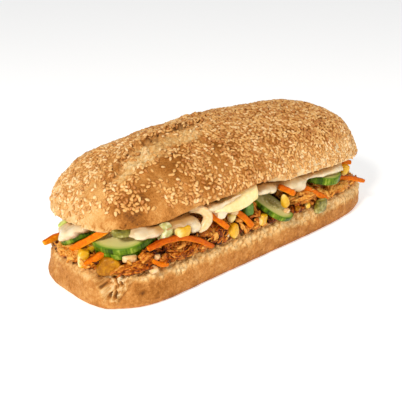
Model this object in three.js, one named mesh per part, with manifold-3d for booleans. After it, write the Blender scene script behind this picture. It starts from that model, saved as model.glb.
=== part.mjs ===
// A long seeded roll, cut open and filled with pulled chicken, mayonnaise, cucumber, carrot, sweetcorn,
// peppers, cheese and pickle. Millimetres, +Z up, long side along X, the fuller side facing -Y.
import * as THREE from "three";
import { mergeVertices } from "three/addons/utils/BufferGeometryUtils.js";
import Module from "manifold-3d";

const wasm = await Module();
wasm.setup();

const GAP = 0.5; // every piece stays this far from its neighbours

// ---------------------------------------------------------------- driving sizes
const HEEL = { long: 220, wide: 80, corner: 4.55, high: 18.8, shoulder: 1.4 };
const LID = {
  long: 209.6, wide: 96, corner: 3.5, dome: 32.65, dome_power: 1.75, lip: 3.3, tuck: 0.25,
  tilt: 7.6, hinge_y: 50.7, hinge_z: 32.5,
};
const SLICE_THICK = 4.4;
const STRIP_THICK = 3.6;

// ---------------------------------------------------------------- plain shape helpers
const V = (x, y, z) => new THREE.Vector3(x, y, z);
const bell = (v, middle, width) => Math.exp(-Math.pow((v - middle) / width, 2));
const sgnpow = (v, p) => Math.sign(v) * Math.pow(Math.abs(v), p);
// 0 at a, 1 at b and a soft step between them, whichever of the two is larger.
const smooth = (a, b, v) => {
  const t = THREE.MathUtils.clamp((v - a) / (b - a), 0, 1);
  return t * t * (3 - 2 * t);
};

// A rounded-rectangle outline (superellipse), one point per step round it.
function outline(long, wide, corner, steps) {
  const pts = [];
  for (let i = 0; i < steps; i++) {
    const a = (2 * Math.PI * i) / steps;
    pts.push([sgnpow(Math.cos(a), 2 / corner) * long / 2, sgnpow(Math.sin(a), 2 / corner) * wide / 2]);
  }
  return pts;
}

// How far out the outline lies along the direction of (x, y): 1 on the outline, 0 in the middle.
function outlineShare(x, y, long, wide, corner) {
  const sum = Math.pow(Math.abs(2 * x / long), corner) + Math.pow(Math.abs(2 * y / wide), corner);
  return Math.pow(sum, 1 / corner);
}

// Rings of equal length, listed from the bottom up and counter-clockwise seen from above, closed with a
// fan to a middle point at each end.
function loft(rings, lowMiddle, highMiddle) {
  const n = rings[0].length;
  const pos = [];
  const index = [];
  rings.forEach((ring) => ring.forEach((p) => pos.push(p.x, p.y, p.z)));
  for (let r = 0; r + 1 < rings.length; r++)
    for (let i = 0; i < n; i++) {
      const j = (i + 1) % n;
      const a = r * n + i;
      const b = r * n + j;
      const c = (r + 1) * n + j;
      const d = (r + 1) * n + i;
      index.push(a, b, c, a, c, d);
    }
  const low = pos.length / 3;
  pos.push(lowMiddle.x, lowMiddle.y, lowMiddle.z, highMiddle.x, highMiddle.y, highMiddle.z);
  const top = (rings.length - 1) * n;
  for (let i = 0; i < n; i++) {
    const j = (i + 1) % n;
    index.push(low, j, i, low + 1, top + i, top + j);
  }
  const g = new THREE.BufferGeometry();
  g.setAttribute("position", new THREE.Float32BufferAttribute(pos, 3));
  g.setIndex(index);
  return g;
}

// A three.js geometry as a solid that can be joined and cut.
function solid(geometry) {
  const g = geometry.clone();
  g.deleteAttribute("normal");
  g.deleteAttribute("uv");
  const m = mergeVertices(g, 1e-3);
  const made = new wasm.Manifold(new wasm.Mesh({
    numProp: 3,
    vertProperties: new Float32Array(m.attributes.position.array),
    triVerts: new Uint32Array(m.index.array),
  }));
  if (made.volume() < 0) throw new Error("a shape is inside out");
  return made;
}

// Back to a three.js geometry; of several bodies only the largest is kept.
function geometryOf(shape, tolerance = 0.06) {
  const bodies = shape.asOriginal().simplify(tolerance).decompose();
  bodies.sort((a, b) => b.volume() - a.volume());
  const m = bodies[0].getMesh();
  const pos = new Float32Array(m.numVert * 3);
  for (let i = 0; i < m.numVert; i++) {
    const from = i * m.numProp;
    pos.set(m.vertProperties.subarray(from, from + 3), i * 3);
  }
  const g = new THREE.BufferGeometry();
  g.setAttribute("position", new THREE.BufferAttribute(pos, 3));
  g.setIndex(new THREE.BufferAttribute(new Uint32Array(m.triVerts), 1));
  g.computeVertexNormals();
  return g;
}

// ---------------------------------------------------------------- the two halves of the roll
// The foot spreads a little at the left end and beside it along the front.
function spreadFoot(x, y, z) {
  const low = smooth(11, 2, z);
  const out = 1.9 * bell(y, 3, 15) * smooth(-96, -104, x);
  const forward = 2.3 * bell(x, -84, 20) * smooth(-30, -36, y);
  return V(x - out * low, y - forward * low, z);
}
// Lower half: flat underside with a rounded foot, nearly upright crust, a soft shoulder, flat cut face.
function heel(grow) {
  const s = HEEL;
  // height and how far the side bulges past the outline there
  const levels = [
    [0, -1.8], [0.5, 0], [1.8, 0.9], [4.5, 1.3], [9, 1], [14, 0.2], [17.4, -0.5], [s.high, -s.shoulder],
  ];
  const rings = levels.map(([z, bulge]) => {
    const by = bulge + grow;
    const up = z === 0 ? -grow : z === s.high ? grow : 0;
    return outline(s.long + 2 * by, s.wide + 2 * by, s.corner, 48).map(([x, y]) => spreadFoot(x, y, z + up));
  });
  return loft(rings, V(0, 0, -grow), V(0, 0, s.high + grow));
}

// The upper half's own frame has its cut face at z = 0; it leans back about its rear edge.
function placeLid(p) {
  const t = -LID.tilt * Math.PI / 180;
  const y = p.y - LID.wide / 2;
  const back = y * Math.cos(t) - p.z * Math.sin(t) + LID.hinge_y;
  return V(p.x, back, y * Math.sin(t) + p.z * Math.cos(t) + LID.hinge_z);
}
// The cut face is not flat: its rim hangs lower towards both ends, mostly along the front.
const sag = (x, y) => {
  const left = 3.8 * smooth(-52, -84, x) + 1.3 * smooth(-92, -103, x);
  const right = 3.2 * smooth(-8, 16, x) + 4.4 * smooth(16, 100, x);
  const rim = smooth(0.5, 0.86, outlineShare(x, y - 2.7, LID.long, LID.wide, LID.corner));
  return rim * (left + right) * THREE.MathUtils.lerp(0.3, 1, smooth(34, -16, y));
};
const underLid = (x, y) => LID.hinge_z + (LID.hinge_y - y) * Math.tan(LID.tilt * Math.PI / 180) - sag(x, y);

// Upper half: flat cut face, a lip that curls under, a long dome with two low torn ridges and two soft dents.
function lidHeight(x, y, t) {
  const ends = -1.9 * smooth(34, 70, Math.abs(x)) * Math.pow(t, 4);
  const ridge = 1.6 * bell(y, 11, 8) * smooth(-34, -14, x) * (1 - smooth(12, 34, x));
  const along = smooth(-88, -70, x) * (1 - smooth(-30, -10, x));
  const tear = 1.2 * bell(y + 0.25 * (x + 60), -2, 6) * along;
  const dentA = -1.2 * bell(x, 14, 9) * bell(y, -10, 12);
  const dentB = -1.1 * bell(x, -40, 16) * bell(y, -28, 9);
  return ends + Math.sqrt(t) * (ridge + tear + dentA + dentB);
}
function lid(grow) {
  const s = LID;
  const steps = 52;
  const ring = (k, z, t) => {
    const kx = 1 - (1 - k) * s.wide / s.long;
    return outline(s.long + 2 * grow, s.wide + 2 * grow, s.corner, steps).map(([x, y]) => {
      const px = x * kx;
      const py = y * k;
      const hang = sag(px, py) * smooth(0.5, 0, t);
      return placeLid(V(px, py, z - hang + lidHeight(px, py, t) + Math.sqrt(t) * grow));
    });
  };
  const rings = [];
  for (const k of [0.3, 0.55]) rings.push(ring(k, -grow, 0));
  for (const t of [1, 0.62, 0.25]) {
    const low = t === 1 ? grow : 0;
    rings.push(ring(1 - s.tuck * Math.pow(t, 1.6), s.lip * (1 - t) - low, 0));
  }
  for (const t of [0, 0.2, 0.4, 0.58, 0.74, 0.87, 0.96]) {
    const k = Math.pow(1 - Math.pow(t, s.dome_power), 1 / s.dome_power);
    rings.push(ring(k, s.lip + s.dome * t, t));
  }
  // The dome closes along a seam down its middle, so each ring point joins its partner across it.
  const n = steps;
  const g = loft(rings, placeLid(V(0, 0, -sag(0, 0) - grow)), V(0, 0, 0));
  const pos = Array.from(g.attributes.position.array);
  let index = Array.from(g.index.array);
  const top = (rings.length - 1) * n;
  const apex = pos.length / 3 - 1;
  const kept = [];
  for (let i = 0; i < index.length; i += 3)
    if (index[i] !== apex) kept.push(index[i], index[i + 1], index[i + 2]);
  const seam = [];
  for (let i = 0; i <= n / 2; i++) {
    const a = rings[rings.length - 1][i];
    const b = rings[rings.length - 1][(n - i) % n];
    const mid = a.clone().add(b).multiplyScalar(0.5);
    if (i === 0 || i === n / 2) seam.push(top + i);
    else {
      seam.push(pos.length / 3);
      pos.push(mid.x, mid.y, mid.z + 0.5);
    }
  }
  for (let i = 0; i < n / 2; i++) {
    const a = top + i;
    const b = top + i + 1;
    const c = top + ((n - i) % n);
    const d = top + ((n - i - 1) % n);
    kept.push(a, b, seam[i + 1], a, seam[i + 1], seam[i]);
    kept.push(d, c, seam[i], d, seam[i], seam[i + 1]);
  }
  const clean = [];
  for (let i = 0; i < kept.length; i += 3)
    if (kept[i] !== kept[i + 1] && kept[i + 1] !== kept[i + 2] && kept[i] !== kept[i + 2])
      clean.push(kept[i], kept[i + 1], kept[i + 2]);
  const used = new THREE.BufferGeometry();
  used.setAttribute("position", new THREE.Float32BufferAttribute(pos, 3));
  used.setIndex(clean);
  return used;
}

// ---------------------------------------------------------------- layers that run through the roll
const wave = (x, y, p) => 0.5 * Math.sin(x * 0.21 + p) + 0.5 * Math.sin(x * 0.47 + y * 0.31 + 1.7 * p);

// A slab between two height functions, its edge on an uneven outline.
function slab(edge, low, high, steps, shares) {
  const ringAt = (f, share, lift) => {
    const pts = [];
    for (let i = 0; i < steps; i++) {
      const [x, y] = edge(i / steps);
      const px = x * share;
      const py = y * share;
      pts.push(V(px, py, f(px, py) + lift));
    }
    return pts;
  };
  const rings = [];
  for (let i = shares.length - 1; i >= 0; i--) rings.push(ringAt(low, shares[i], 0));
  for (let i = 0; i < shares.length; i++) {
    const share = shares[i];
    const round = i === 0 ? 0.55 : i === 1 ? 0.9 : 1;
    rings.push(ringAt((x, y) => THREE.MathUtils.lerp(low(x, y), high(x, y), round), share, 0));
  }
  return loft(rings, V(0, 0, low(0, 0)), V(0, 0, high(0, 0)));
}

const MAYO_DEEP = 5;
// The heap stands low at the roll's edge and rises inside until only the mayonnaise fits over it.
const heapTop = (x, y) => {
  const inside = smooth(39.5, 25, Math.abs(y)) * smooth(-108, -92, x) * smooth(103, 82, x);
  const sunk = 5.4 * smooth(84, 104, x) + 3.4 * smooth(-90, -102, x) * smooth(-6, 12, y);
  const edge = THREE.MathUtils.lerp(24.6, 28.4, smooth(38, -38, y)) - sunk + 1.1 * wave(x, y, 0.4);
  return THREE.MathUtils.lerp(edge, underLid(x, y) - MAYO_DEEP - 1, inside);
};
function chickenSlab(grow) {
  const edge = (u) => {
    const a = 2 * Math.PI * u;
    const k = 1 + 0.012 * Math.sin(9 * a + 1) + 0.014 * Math.sin(17 * a + 2) + 0.01 * Math.sin(31 * a);
    return [
      sgnpow(Math.cos(a), 2 / 4.2) * (108 + grow) * (0.99 + (k - 1) * 0.5),
      sgnpow(Math.sin(a), 2 / 4.2) * (39.6 + grow) * k,
    ];
  };
  return slab(edge, () => HEEL.high + GAP - grow, (x, y) => heapTop(x, y) + grow, 48, [1, 0.96, 0.86, 0.62]);
}

function mayoSlab() {
  const edge = (u) => {
    const a = 2 * Math.PI * u;
    const k = 1 + 0.03 * Math.sin(7 * a + 0.6) + 0.03 * Math.sin(12 * a + 2);
    return [sgnpow(Math.cos(a), 2 / 4.5) * 96 * (1 + (k - 1) * 0.4), sgnpow(Math.sin(a), 2 / 4.5) * 34.8 * k];
  };
  const low = (x, y) => underLid(x, y) - MAYO_DEEP;
  const high = (x, y) => underLid(x, y) - GAP - 0.1;
  return slab(edge, low, high, 36, [1, 0.9, 0.5]);
}

// A soft lump: a ball squashed to its three half-sizes, turned about Z and leaned about X.
function lump([x, y, z], [a, b, c], turn = 0, lean = 0, grow = 0, detail = 10) {
  const g = new THREE.SphereGeometry(1, detail, Math.round(detail / 2));
  const swell = grow ? 1.06 : 1;
  g.scale(a * swell + grow, b * swell + grow, c * swell + grow);
  g.rotateX(lean * Math.PI / 180);
  g.rotateZ(turn * Math.PI / 180);
  g.translate(x, y, z);
  return g;
}

// ---------------------------------------------------------------- fillings cut in slices, strips and kernels
// A round slice with softened edges, facing along a given normal.
function slice({ at, normal, r, thick = SLICE_THICK }, grow) {
  const h = thick / 2 + grow;
  const steps = grow ? 12 : 18;
  const o = grow ? (r + grow) / Math.cos(Math.PI / steps) : r;
  const e = 0.55;
  const side = grow ? [[o, -h], [o, h]] : [[o - e, -h], [o, -h + e], [o, h - e], [o - e, h]];
  const profile = [[0, -h], ...side, [0, h]].map(([a, b]) => new THREE.Vector2(a, b));
  const g = new THREE.LatheGeometry(profile, steps);
  const q = new THREE.Quaternion().setFromUnitVectors(V(0, 1, 0), V(...normal).normalize());
  g.applyQuaternion(q);
  g.translate(...at);
  return g;
}

// A strip of rounded-square section swept along a smooth curve through the given points.
function strip({ through, wide = STRIP_THICK, high = STRIP_THICK, segments = 5 }, grow) {
  const pts = through.map((p) => V(...p));
  const n = pts.length;
  const first = pts[0].clone().sub(pts[1]).setLength(grow || 1e-9);
  const last = pts[n - 1].clone().sub(pts[n - 2]).setLength(grow || 1e-9);
  pts[0].add(first);
  pts[n - 1].add(last);
  const corners = grow ? 4 : 8;
  const round = grow ? 0.01 : 0.62;
  const section = [];
  for (let k = 0; k < corners; k++) {
    const a = (2 * Math.PI * (k + 0.5)) / corners;
    section.push(new THREE.Vector2(
      sgnpow(Math.cos(a), round) * (wide / 2 + grow), sgnpow(Math.sin(a), round) * (high / 2 + grow)));
  }
  return new THREE.ExtrudeGeometry(new THREE.Shape(section), {
    steps: segments, extrudePath: new THREE.CatmullRomCurve3(pts), bevelEnabled: false,
  });
}

// A sweetcorn kernel: a blunt tooth shape, broad at the top, narrowing to the tip it was cut at.
function kernel({ at, size = [7.2, 5.2, 9], turn = 0, lean = 0, roll = 0 }, grow) {
  const g = grow ? new THREE.SphereGeometry(1.14, 6, 4) : new THREE.SphereGeometry(1, 8, 5);
  const p = g.attributes.position;
  for (let i = 0; i < p.count; i++) {
    const x = sgnpow(p.getX(i), 0.75);
    const y = sgnpow(p.getZ(i), 0.75);
    const z = sgnpow(p.getY(i), 0.8);
    const taper = 0.82 + 0.24 * z - 0.1 * z * z;
    p.setXYZ(i, x * taper * (size[0] / 2 + grow), y * taper * (size[1] / 2 + grow), z * (size[2] / 2 + grow));
  }
  const m = new THREE.Matrix4().makeRotationFromEuler(
    new THREE.Euler(lean * Math.PI / 180, roll * Math.PI / 180, turn * Math.PI / 180, "ZYX"));
  m.setPosition(...at);
  const out = g.clone().applyMatrix4(m);
  const ix = Array.from(out.index.array);
  for (let i = 0; i < ix.length; i += 3) [ix[i + 1], ix[i + 2]] = [ix[i + 2], ix[i + 1]];
  out.setIndex(ix);
  return out;
}

// A sheet of cheese that comes out from under the lid and droops over the filling.
function cheese(grow) {
  const long = 40;
  const steps = 12;
  const thick = 3.6;
  const rings = [];
  for (let i = 0; i <= steps; i++) {
    const u = i / steps;
    const x = -48 + long * u;
    const bow = Math.pow(Math.sin(Math.PI * (0.06 + 0.88 * u)), 0.6);
    const front = -35.5 - 8.4 * bow;
    const drop = 5.4 * bow;
    const path = [
      [-22, underLid(x, -22) - 4.6], [-32, underLid(x, -32) - 4.4],
      [(front - 35) / 2, 42 - drop * 0.25], [front, 43.4 - drop],
    ];
    const side = (s) => path.map(([y, z]) => V(x, y, z + s * (thick / 2 + grow)));
    rings.push([...side(1), ...side(-1).reverse()]);
  }
  rings.forEach((ring) => ring.forEach((p, k) => {
    if (k === 3 || k === 4) p.y -= grow;
    if (k === 0 || k === 7) p.y += grow;
  }));
  rings[0].forEach((p) => { p.x -= grow; });
  rings[steps].forEach((p) => { p.x += grow; });
  const mid = (ring) => ring.reduce((s, p) => s.add(p), V(0, 0, 0)).multiplyScalar(1 / ring.length);
  return loft(rings, mid(rings[0]), mid(rings[steps]));
}

// A pale ring of onion curling round on itself.
const CURL = {
  through: [
    [-58, -35, 44.4], [-52.5, -39.4, 43.4], [-49.5, -40.8, 39.4], [-51.5, -40.8, 35], [-55.5, -39.5, 32.6],
  ],
  wide: 4.8, high: 4.8, segments: 8,
};

// ---------------------------------------------------------------- where everything lies
const COLOURS = {
  crust: { color: 0xc58340, roughness: 0.78, metalness: 0 },
  chicken: { color: 0xb5682c, roughness: 0.6, metalness: 0 },
  mayonnaise: { color: 0xf1e6cd, roughness: 0.35, metalness: 0 },
  cucumber: { color: 0x8fa94a, roughness: 0.45, metalness: 0 },
  carrot: { color: 0xf0822a, roughness: 0.5, metalness: 0 },
  sweetcorn: { color: 0xf0b42c, roughness: 0.4, metalness: 0 },
  cheese: { color: 0xf7d98a, roughness: 0.45, metalness: 0 },
  pickle: { color: 0x9aa055, roughness: 0.35, metalness: 0 },
  onion: { color: 0xe9d2a4, roughness: 0.4, metalness: 0 },
  green_pepper: { color: 0x4f7a22, roughness: 0.35, metalness: 0 },
  yellow_pepper: { color: 0xdf9f22, roughness: 0.4, metalness: 0 },
  lettuce: { color: 0xb6c44a, roughness: 0.5, metalness: 0 },
};

// Earlier pieces keep their shape; later ones are cut back round them.
const PIECES = [];
const add = (name, colour, make) => PIECES.push({ name, colour, make });
const addSlice = (name, spec) => add(name, "cucumber", (g) => slice(spec, g));
const addStrip = (name, spec, colour = "carrot") => add(name, colour, (g) => strip(spec, g));
const addKernel = (name, spec) => add(name, "sweetcorn", (g) => kernel(spec, g));

// Front and left end
addSlice("cucumber_left_upper", {
  at: [-86.4, -17.9, 34.2], normal: [-0.25, -0.08, 0.96], r: 17, thick: 3.6,
});
addSlice("cucumber_middle", { at: [8.7, -33.2, 26.7], normal: [0.33, -0.34, 0.88], r: 14.4, thick: 3 });
addSlice("cucumber_right", { at: [54.4, -28.5, 35.2], normal: [0.06, -0.04, 1], r: 16.5 });
addStrip("carrot_left_long", {
  through: [[-107.5, 1, 24.9], [-104, -9, 31.8], [-99, -19.5, 39.8]], wide: 3.3, high: 3.8,
});
addSlice("cucumber_left_end", { at: [-92, 8.5, 27.8], normal: [-0.15, 0.48, 0.86], r: 16, thick: 3.4 });
addStrip("carrot_end_tip", {
  through: [[-111.5, 21.5, 22.4], [-102, 21, 24], [-90, 19, 24.2]], wide: 3.2, high: 3.2,
});
addKernel("corn_left_b", { at: [-106.4, -8, 23.4], size: [8, 7, 9.4], turn: 60, lean: 12, roll: 8 });
addStrip("carrot_left_low", { through: [[-109, -12.4, 20.6], [-106, -15.6, 24], [-101, -19.5, 28.2]] });
add("yellow_pepper_left", "yellow_pepper", (g) => lump([-101, -23.4, 22.4], [8, 4.5, 4.7], -42, 0, g, 12));
addKernel("corn_left_a", { at: [-100, -6.8, 26.6], size: [7.4, 6.4, 7.6], turn: 40, lean: 14 });
addSlice("cucumber_left_lower", { at: [-86, -16, 29.6], normal: [-0.24, 0.06, 0.97], r: 16.5, thick: 4 });
add("pickle_left", "pickle", (g) => lump([-95, -26.5, 40.2], [5.4, 4.4, 2.3], -35, 0, g));
add("lettuce_left", "lettuce", (g) => lump([-103.1, 14, 34], [3, 3.4, 1.4], 40, -34, g));
addStrip("carrot_arc", {
  through: [
    [-89, -39.6, 33.2], [-79.5, -41.2, 35], [-68.5, -41.6, 33.4], [-57.5, -41.6, 28.4], [-46.5, -41.4, 21.2],
  ],
  wide: 3.2, high: 3, segments: 10,
});
addKernel("corn_left_c", { at: [-67.9, -41, 36.2], size: [11.4, 6, 6.6] });
add("onion_curl", "onion", (g) => strip(CURL, g));
addStrip("carrot_middle_a", { through: [[-53, -37.4, 43], [-44, -39.6, 36.8], [-35.4, -41.4, 28.8]] });
add("cheese_slice", "cheese", (g) => cheese(g));
addKernel("corn_middle_a", { at: [-29, -40, 23.9], size: [8, 5.6, 9.6], roll: -20 });
addKernel("corn_middle_b", { at: [-29.6, -38.6, 31.8], size: [6.4, 5, 5.6] });
addStrip("carrot_middle_b", { through: [[-26.5, -37.5, 35.2], [-20.5, -39.6, 29.6], [-15, -40.4, 23.4]] });
add("green_pepper_middle", "green_pepper", (g) => lump([-15.4, -37, 32.2], [4, 3, 4.2], 0, 0, g));
addKernel("corn_middle_c", { at: [-5.2, -39.4, 23.6], size: [7.4, 6, 7], turn: 15, roll: 12 });
addKernel("corn_middle_d", { at: [13, -40.6, 30.4], size: [6, 5, 9.4], roll: -22 });
addStrip("carrot_short", {
  through: [[11, -37.4, 38.8], [15.5, -39.4, 36.4], [20.6, -41, 33.2]], segments: 4,
});
addStrip("carrot_right_a", { through: [[32, -38, 33.6], [42, -40, 27.4], [52, -41.2, 21.4]] });
add("pickle_hanging", "pickle", (g) => lump([45.8, -42.5, 18.4], [4.6, 1.9, 5], 0, 6, g));
addKernel("corn_right_a", { at: [35.5, -39.4, 20.9], size: [5.4, 4.6, 3.6], roll: 80 });
addKernel("corn_right_b", { at: [75.5, -37, 33.2], size: [7.2, 5.6, 7.6], turn: -20, roll: 10 });
addStrip("carrot_right_low", {
  through: [[70, -34, 28.4], [83, -37, 25.6], [95.4, -39, 21]], wide: 3.2, high: 3.2,
});
addStrip("carrot_right_tip", {
  through: [[70, -25, 37.2], [78, -31, 36.6], [84.6, -35, 35.6]], wide: 3.2, high: 3.2,
});
addSlice("cucumber_front_left", { at: [-63.5, -28, 36.4], normal: [-0.05, -0.3, 0.95], r: 11, thick: 3.6 });
add("pickle_front", "pickle", (g) => lump([-77.4, -38.8, 38.4], [3.8, 3, 5], 0, 10, g));

// Right end and the back, finished like what shows
addSlice("cucumber_right_end", { at: [86, 2, 31], normal: [0.1, 0.06, 0.99], r: 16 });
addSlice("cucumber_back_left", { at: [-62, 26, 28.4], normal: [0.05, 0.05, 1], r: 16 });
addSlice("cucumber_back_right", { at: [34, 27, 28], normal: [-0.06, 0.06, 1], r: 16 });
addStrip("carrot_right_end", { through: [[90, 16, 27], [100, 8, 26.4], [107.5, -3, 22.5]] });
addStrip("carrot_back_a", { through: [[-84, 35, 26.6], [-76, 39, 25.4], [-66, 41, 21.8]] });
addStrip("carrot_back_b", { through: [[-30, 36, 29], [-19, 39.6, 27.4], [-7, 41, 22.4]] });
addStrip("carrot_back_c", { through: [[58, 35, 29], [70, 38.6, 27], [82, 37.6, 22.4]] });
addKernel("corn_right_c", { at: [104, 14, 23.6], turn: 80, lean: 10 });
addKernel("corn_right_d", { at: [104.5, -15, 23.2], turn: 100, lean: -8 });
addKernel("corn_back_a", { at: [-92, 27, 22.6], turn: 30, size: [7, 6, 7.2] });
addKernel("corn_back_b", { at: [-44, 38.8, 23.6], roll: 18 });
addKernel("corn_back_c", { at: [10, 39, 23.4], roll: -14 });
addKernel("corn_back_d", { at: [52, 39.2, 23], roll: 30 });
add("green_pepper_back", "green_pepper", (g) => lump([-13, 35, 30.4], [5, 4, 2.6], 10, 0, g));
add("yellow_pepper_back", "yellow_pepper", (g) => lump([88, 27.6, 23.4], [7, 4.4, 4], 30, 0, g));

// Mayonnaise lumps that swell out past the slab: centre, half-sizes, turn, lean
const MAYO_LUMPS = [
  [[-103.5, 4, 31.6], [5.6, 9, 3.8], 14, -28], [[-97, -1, 35.2], [9, 8, 3], 10, -10],
  [[-83.5, -34.5, 38.8], [9.5, 6, 2.8], -4], [[-86, -28, 39.6], [8, 7, 2.8], 0],
  [[-78, -28, 40.4], [9, 9, 2.6], 0], [[-71, -36.6, 40.6], [7, 5.4, 3], 8],
  [[-63, -37.4, 39.6], [7, 4.6, 3.2], 18], [[-57, -38.2, 36.4], [5, 4.2, 3.2], 30],
  [[-45, -35, 40.2], [6.4, 5.4, 4.6], 0], [[-1, -36, 39.6], [8.4, 5.6, 4.4], 8],
  [[6, -36.4, 37.4], [5, 4, 4.4], 30], [[21, -37, 38], [9.6, 5.8, 4.8], -8],
  [[29, -37.4, 35.8], [6, 4.6, 5], 0], [[36, -33.6, 37.6], [6, 5, 2.8], 0],
  [[51, -37.6, 38.6], [16, 7, 2.6], -2], [[63, -35.6, 38.4], [8, 5.4, 3], 0], [[72, -31, 37], [6, 6, 3], 0],
  [[-70, 34, 32], [11, 6.4, 2.6], 0], [[0, 34, 32], [14, 6, 2.8], 4], [[46, 34, 32], [10, 6, 2.6], 0],
  [[92, 4, 36.6], [9, 12, 2.8], 0], [[-88, 26, 33.2], [9, 7, 3], 30],
];

// ---------------------------------------------------------------- cutting the pieces clear of each other
const parts = [];
const blockers = [];
const box = (s) => {
  const b = s.boundingBox();
  return new THREE.Box3(V(...b.min), V(...b.max));
};
// The two big fillings are thinned out to fewer triangles, so they are cut back by that much more.
const THINNING = { chicken: 0.55, mayonnaise: 0.8 };
function put(name, colour, shape, grown, thinning = 0) {
  let cut = shape;
  const own = box(shape);
  for (const b of blockers)
    if (b.box.intersectsBox(own)) cut = cut.subtract(thinning ? b.grown(GAP + thinning) : b.solid);
  parts.push({ name, colour, geometry: geometryOf(cut, thinning || 0.06) });
  if (grown) {
    const fat = grown(GAP);
    blockers.push({ solid: fat, box: box(fat), grown });
  }
}

const pocket = [
  lump([-102, -33.5, 13.4], [8, 5.4, 6.4], -38, 0, 0, 12),
  lump([-98, -34.5, 16.5], [6.4, 4.6, 5], -30, 0, 0, 10),
].map(solid);
const heelShape = pocket.reduce((s, p) => s.subtract(p), solid(heel(0)));
put("bread_heel", "crust", heelShape, (g) => solid(heel(g)));
put("bread_lid", "crust", solid(lid(0)), (g) => solid(lid(g)));
for (const piece of PIECES) put(piece.name, piece.colour, solid(piece.make(0)), (g) => solid(piece.make(g)));
put("pulled_chicken", "chicken", solid(chickenSlab(0)), (g) => solid(chickenSlab(g)), THINNING.chicken);
const folds = MAYO_LUMPS.map(([at, half, turn, lean = 0]) => solid(lump(at, half, turn, lean, 0, 8)));
const mayo = folds.reduce((s, fold) => s.add(fold), solid(mayoSlab()));
put("mayonnaise", "mayonnaise", mayo, null, THINNING.mayonnaise);

// ---------------------------------------------------------------- the group, stood on z = 0 over its middle
const whole = new THREE.Box3();
for (const p of parts) {
  p.geometry.computeBoundingBox();
  whole.union(p.geometry.boundingBox);
}
const sandwich = new THREE.Group();
const bread = new THREE.Group();
const filling = new THREE.Group();
sandwich.add(bread, filling);
const middle = whole.getCenter(V(0, 0, 0));
bread.position.set(-middle.x, -middle.y, -whole.min.z);
filling.position.copy(bread.position);
for (const p of parts) {
  const centre = p.geometry.boundingBox.getCenter(V(0, 0, 0)).round();
  p.geometry.translate(-centre.x, -centre.y, -centre.z);
  const mesh = new THREE.Mesh(p.geometry, new THREE.MeshStandardMaterial(COLOURS[p.colour]));
  mesh.name = p.name;
  mesh.position.copy(centre);
  (p.colour === "crust" ? bread : filling).add(mesh);
}

export default sandwich;
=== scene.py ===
"""A long seeded roll with pulled chicken, mayonnaise, cucumber, carrot, sweetcorn, cheese and pickle.

Lengths are millimetres in the roll's own frame until a mesh is made: x runs along the roll, y across it
with the open side at -y, z up from where it rests, and x = y = 0 lies over the middle of the lower half.
"""
import math

import bpy
import numpy as np
from mathutils import Matrix, Vector, noise
from mathutils.bvhtree import BVHTree


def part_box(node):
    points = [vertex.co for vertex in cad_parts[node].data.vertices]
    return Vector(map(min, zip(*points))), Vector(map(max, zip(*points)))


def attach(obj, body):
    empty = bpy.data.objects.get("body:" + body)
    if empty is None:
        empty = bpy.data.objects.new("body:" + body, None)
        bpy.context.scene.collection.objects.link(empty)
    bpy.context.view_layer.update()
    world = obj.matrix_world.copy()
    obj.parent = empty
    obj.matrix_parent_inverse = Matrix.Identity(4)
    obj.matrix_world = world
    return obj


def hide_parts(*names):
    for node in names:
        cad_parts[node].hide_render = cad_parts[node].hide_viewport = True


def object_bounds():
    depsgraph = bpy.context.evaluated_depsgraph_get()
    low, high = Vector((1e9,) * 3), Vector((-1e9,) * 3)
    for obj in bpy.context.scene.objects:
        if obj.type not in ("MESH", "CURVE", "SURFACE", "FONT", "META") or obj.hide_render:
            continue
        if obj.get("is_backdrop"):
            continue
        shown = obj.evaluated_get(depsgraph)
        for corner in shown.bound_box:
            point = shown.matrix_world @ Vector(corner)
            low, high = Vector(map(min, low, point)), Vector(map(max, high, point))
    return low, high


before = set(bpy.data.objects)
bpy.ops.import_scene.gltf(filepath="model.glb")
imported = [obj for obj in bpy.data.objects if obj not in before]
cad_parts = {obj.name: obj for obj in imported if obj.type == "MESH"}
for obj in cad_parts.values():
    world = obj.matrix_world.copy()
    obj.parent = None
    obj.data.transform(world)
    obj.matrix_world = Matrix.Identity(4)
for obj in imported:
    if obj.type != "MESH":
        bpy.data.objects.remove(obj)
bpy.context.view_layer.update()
scene = bpy.context.scene
scene.view_settings.view_transform = "Standard"

MM = 0.001
heel_low, heel_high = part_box("bread_heel")
MIDDLE = np.array([(heel_low.x + heel_high.x) / 2, (heel_low.y + heel_high.y) / 2, 0.0]) / MM

# ------------------------------------------------------------------ driving sizes
# corner is how square an outline is: 2 is an ellipse, and more comes nearer to a rectangle
HEEL = dict(long=220, wide=80, corner=4.55, high=18.8)
# height, how far the side stands out there
HEEL_SIDE = [(0, -1.8), (0.5, 0), (1.8, 0.9), (4.5, 1.3), (9, 1), (14, 0.2), (17.4, -0.5), (18.8, -1.4)]
# the dome rises over a lip that is tucked in under it, and leans back by tilt about its rear edge
LID = dict(long=209.6, wide=96, corner=3.5, dome=32.65, power=1.75, lip=3.3, tuck=0.25,
           tilt=7.6, hinge_y=50.7, hinge_z=32.5)
SLICE = 4.4  # the usual thickness of a cucumber slice
STRIP = 3.6  # the usual width and thickness of a carrot strip
# spacing is the least distance between seeds, most how many there can be on a square metre
SEED = dict(long=3.35, wide=1.85, thick=1.35, spacing=1.3, most=720000)


# ------------------------------------------------------------------ plain number helpers
def smooth(a, b, v):
    """0 at a, 1 at b and a soft step between them, whichever of the two is larger."""
    t = np.clip((np.asarray(v, float) - a) / (b - a), 0, 1)
    return t * t * (3 - 2 * t)


def bell(v, middle, width):
    """1 at the middle, falling softly to 0 on both sides."""
    return np.exp(-((np.asarray(v, float) - middle) / width) ** 2)


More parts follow.
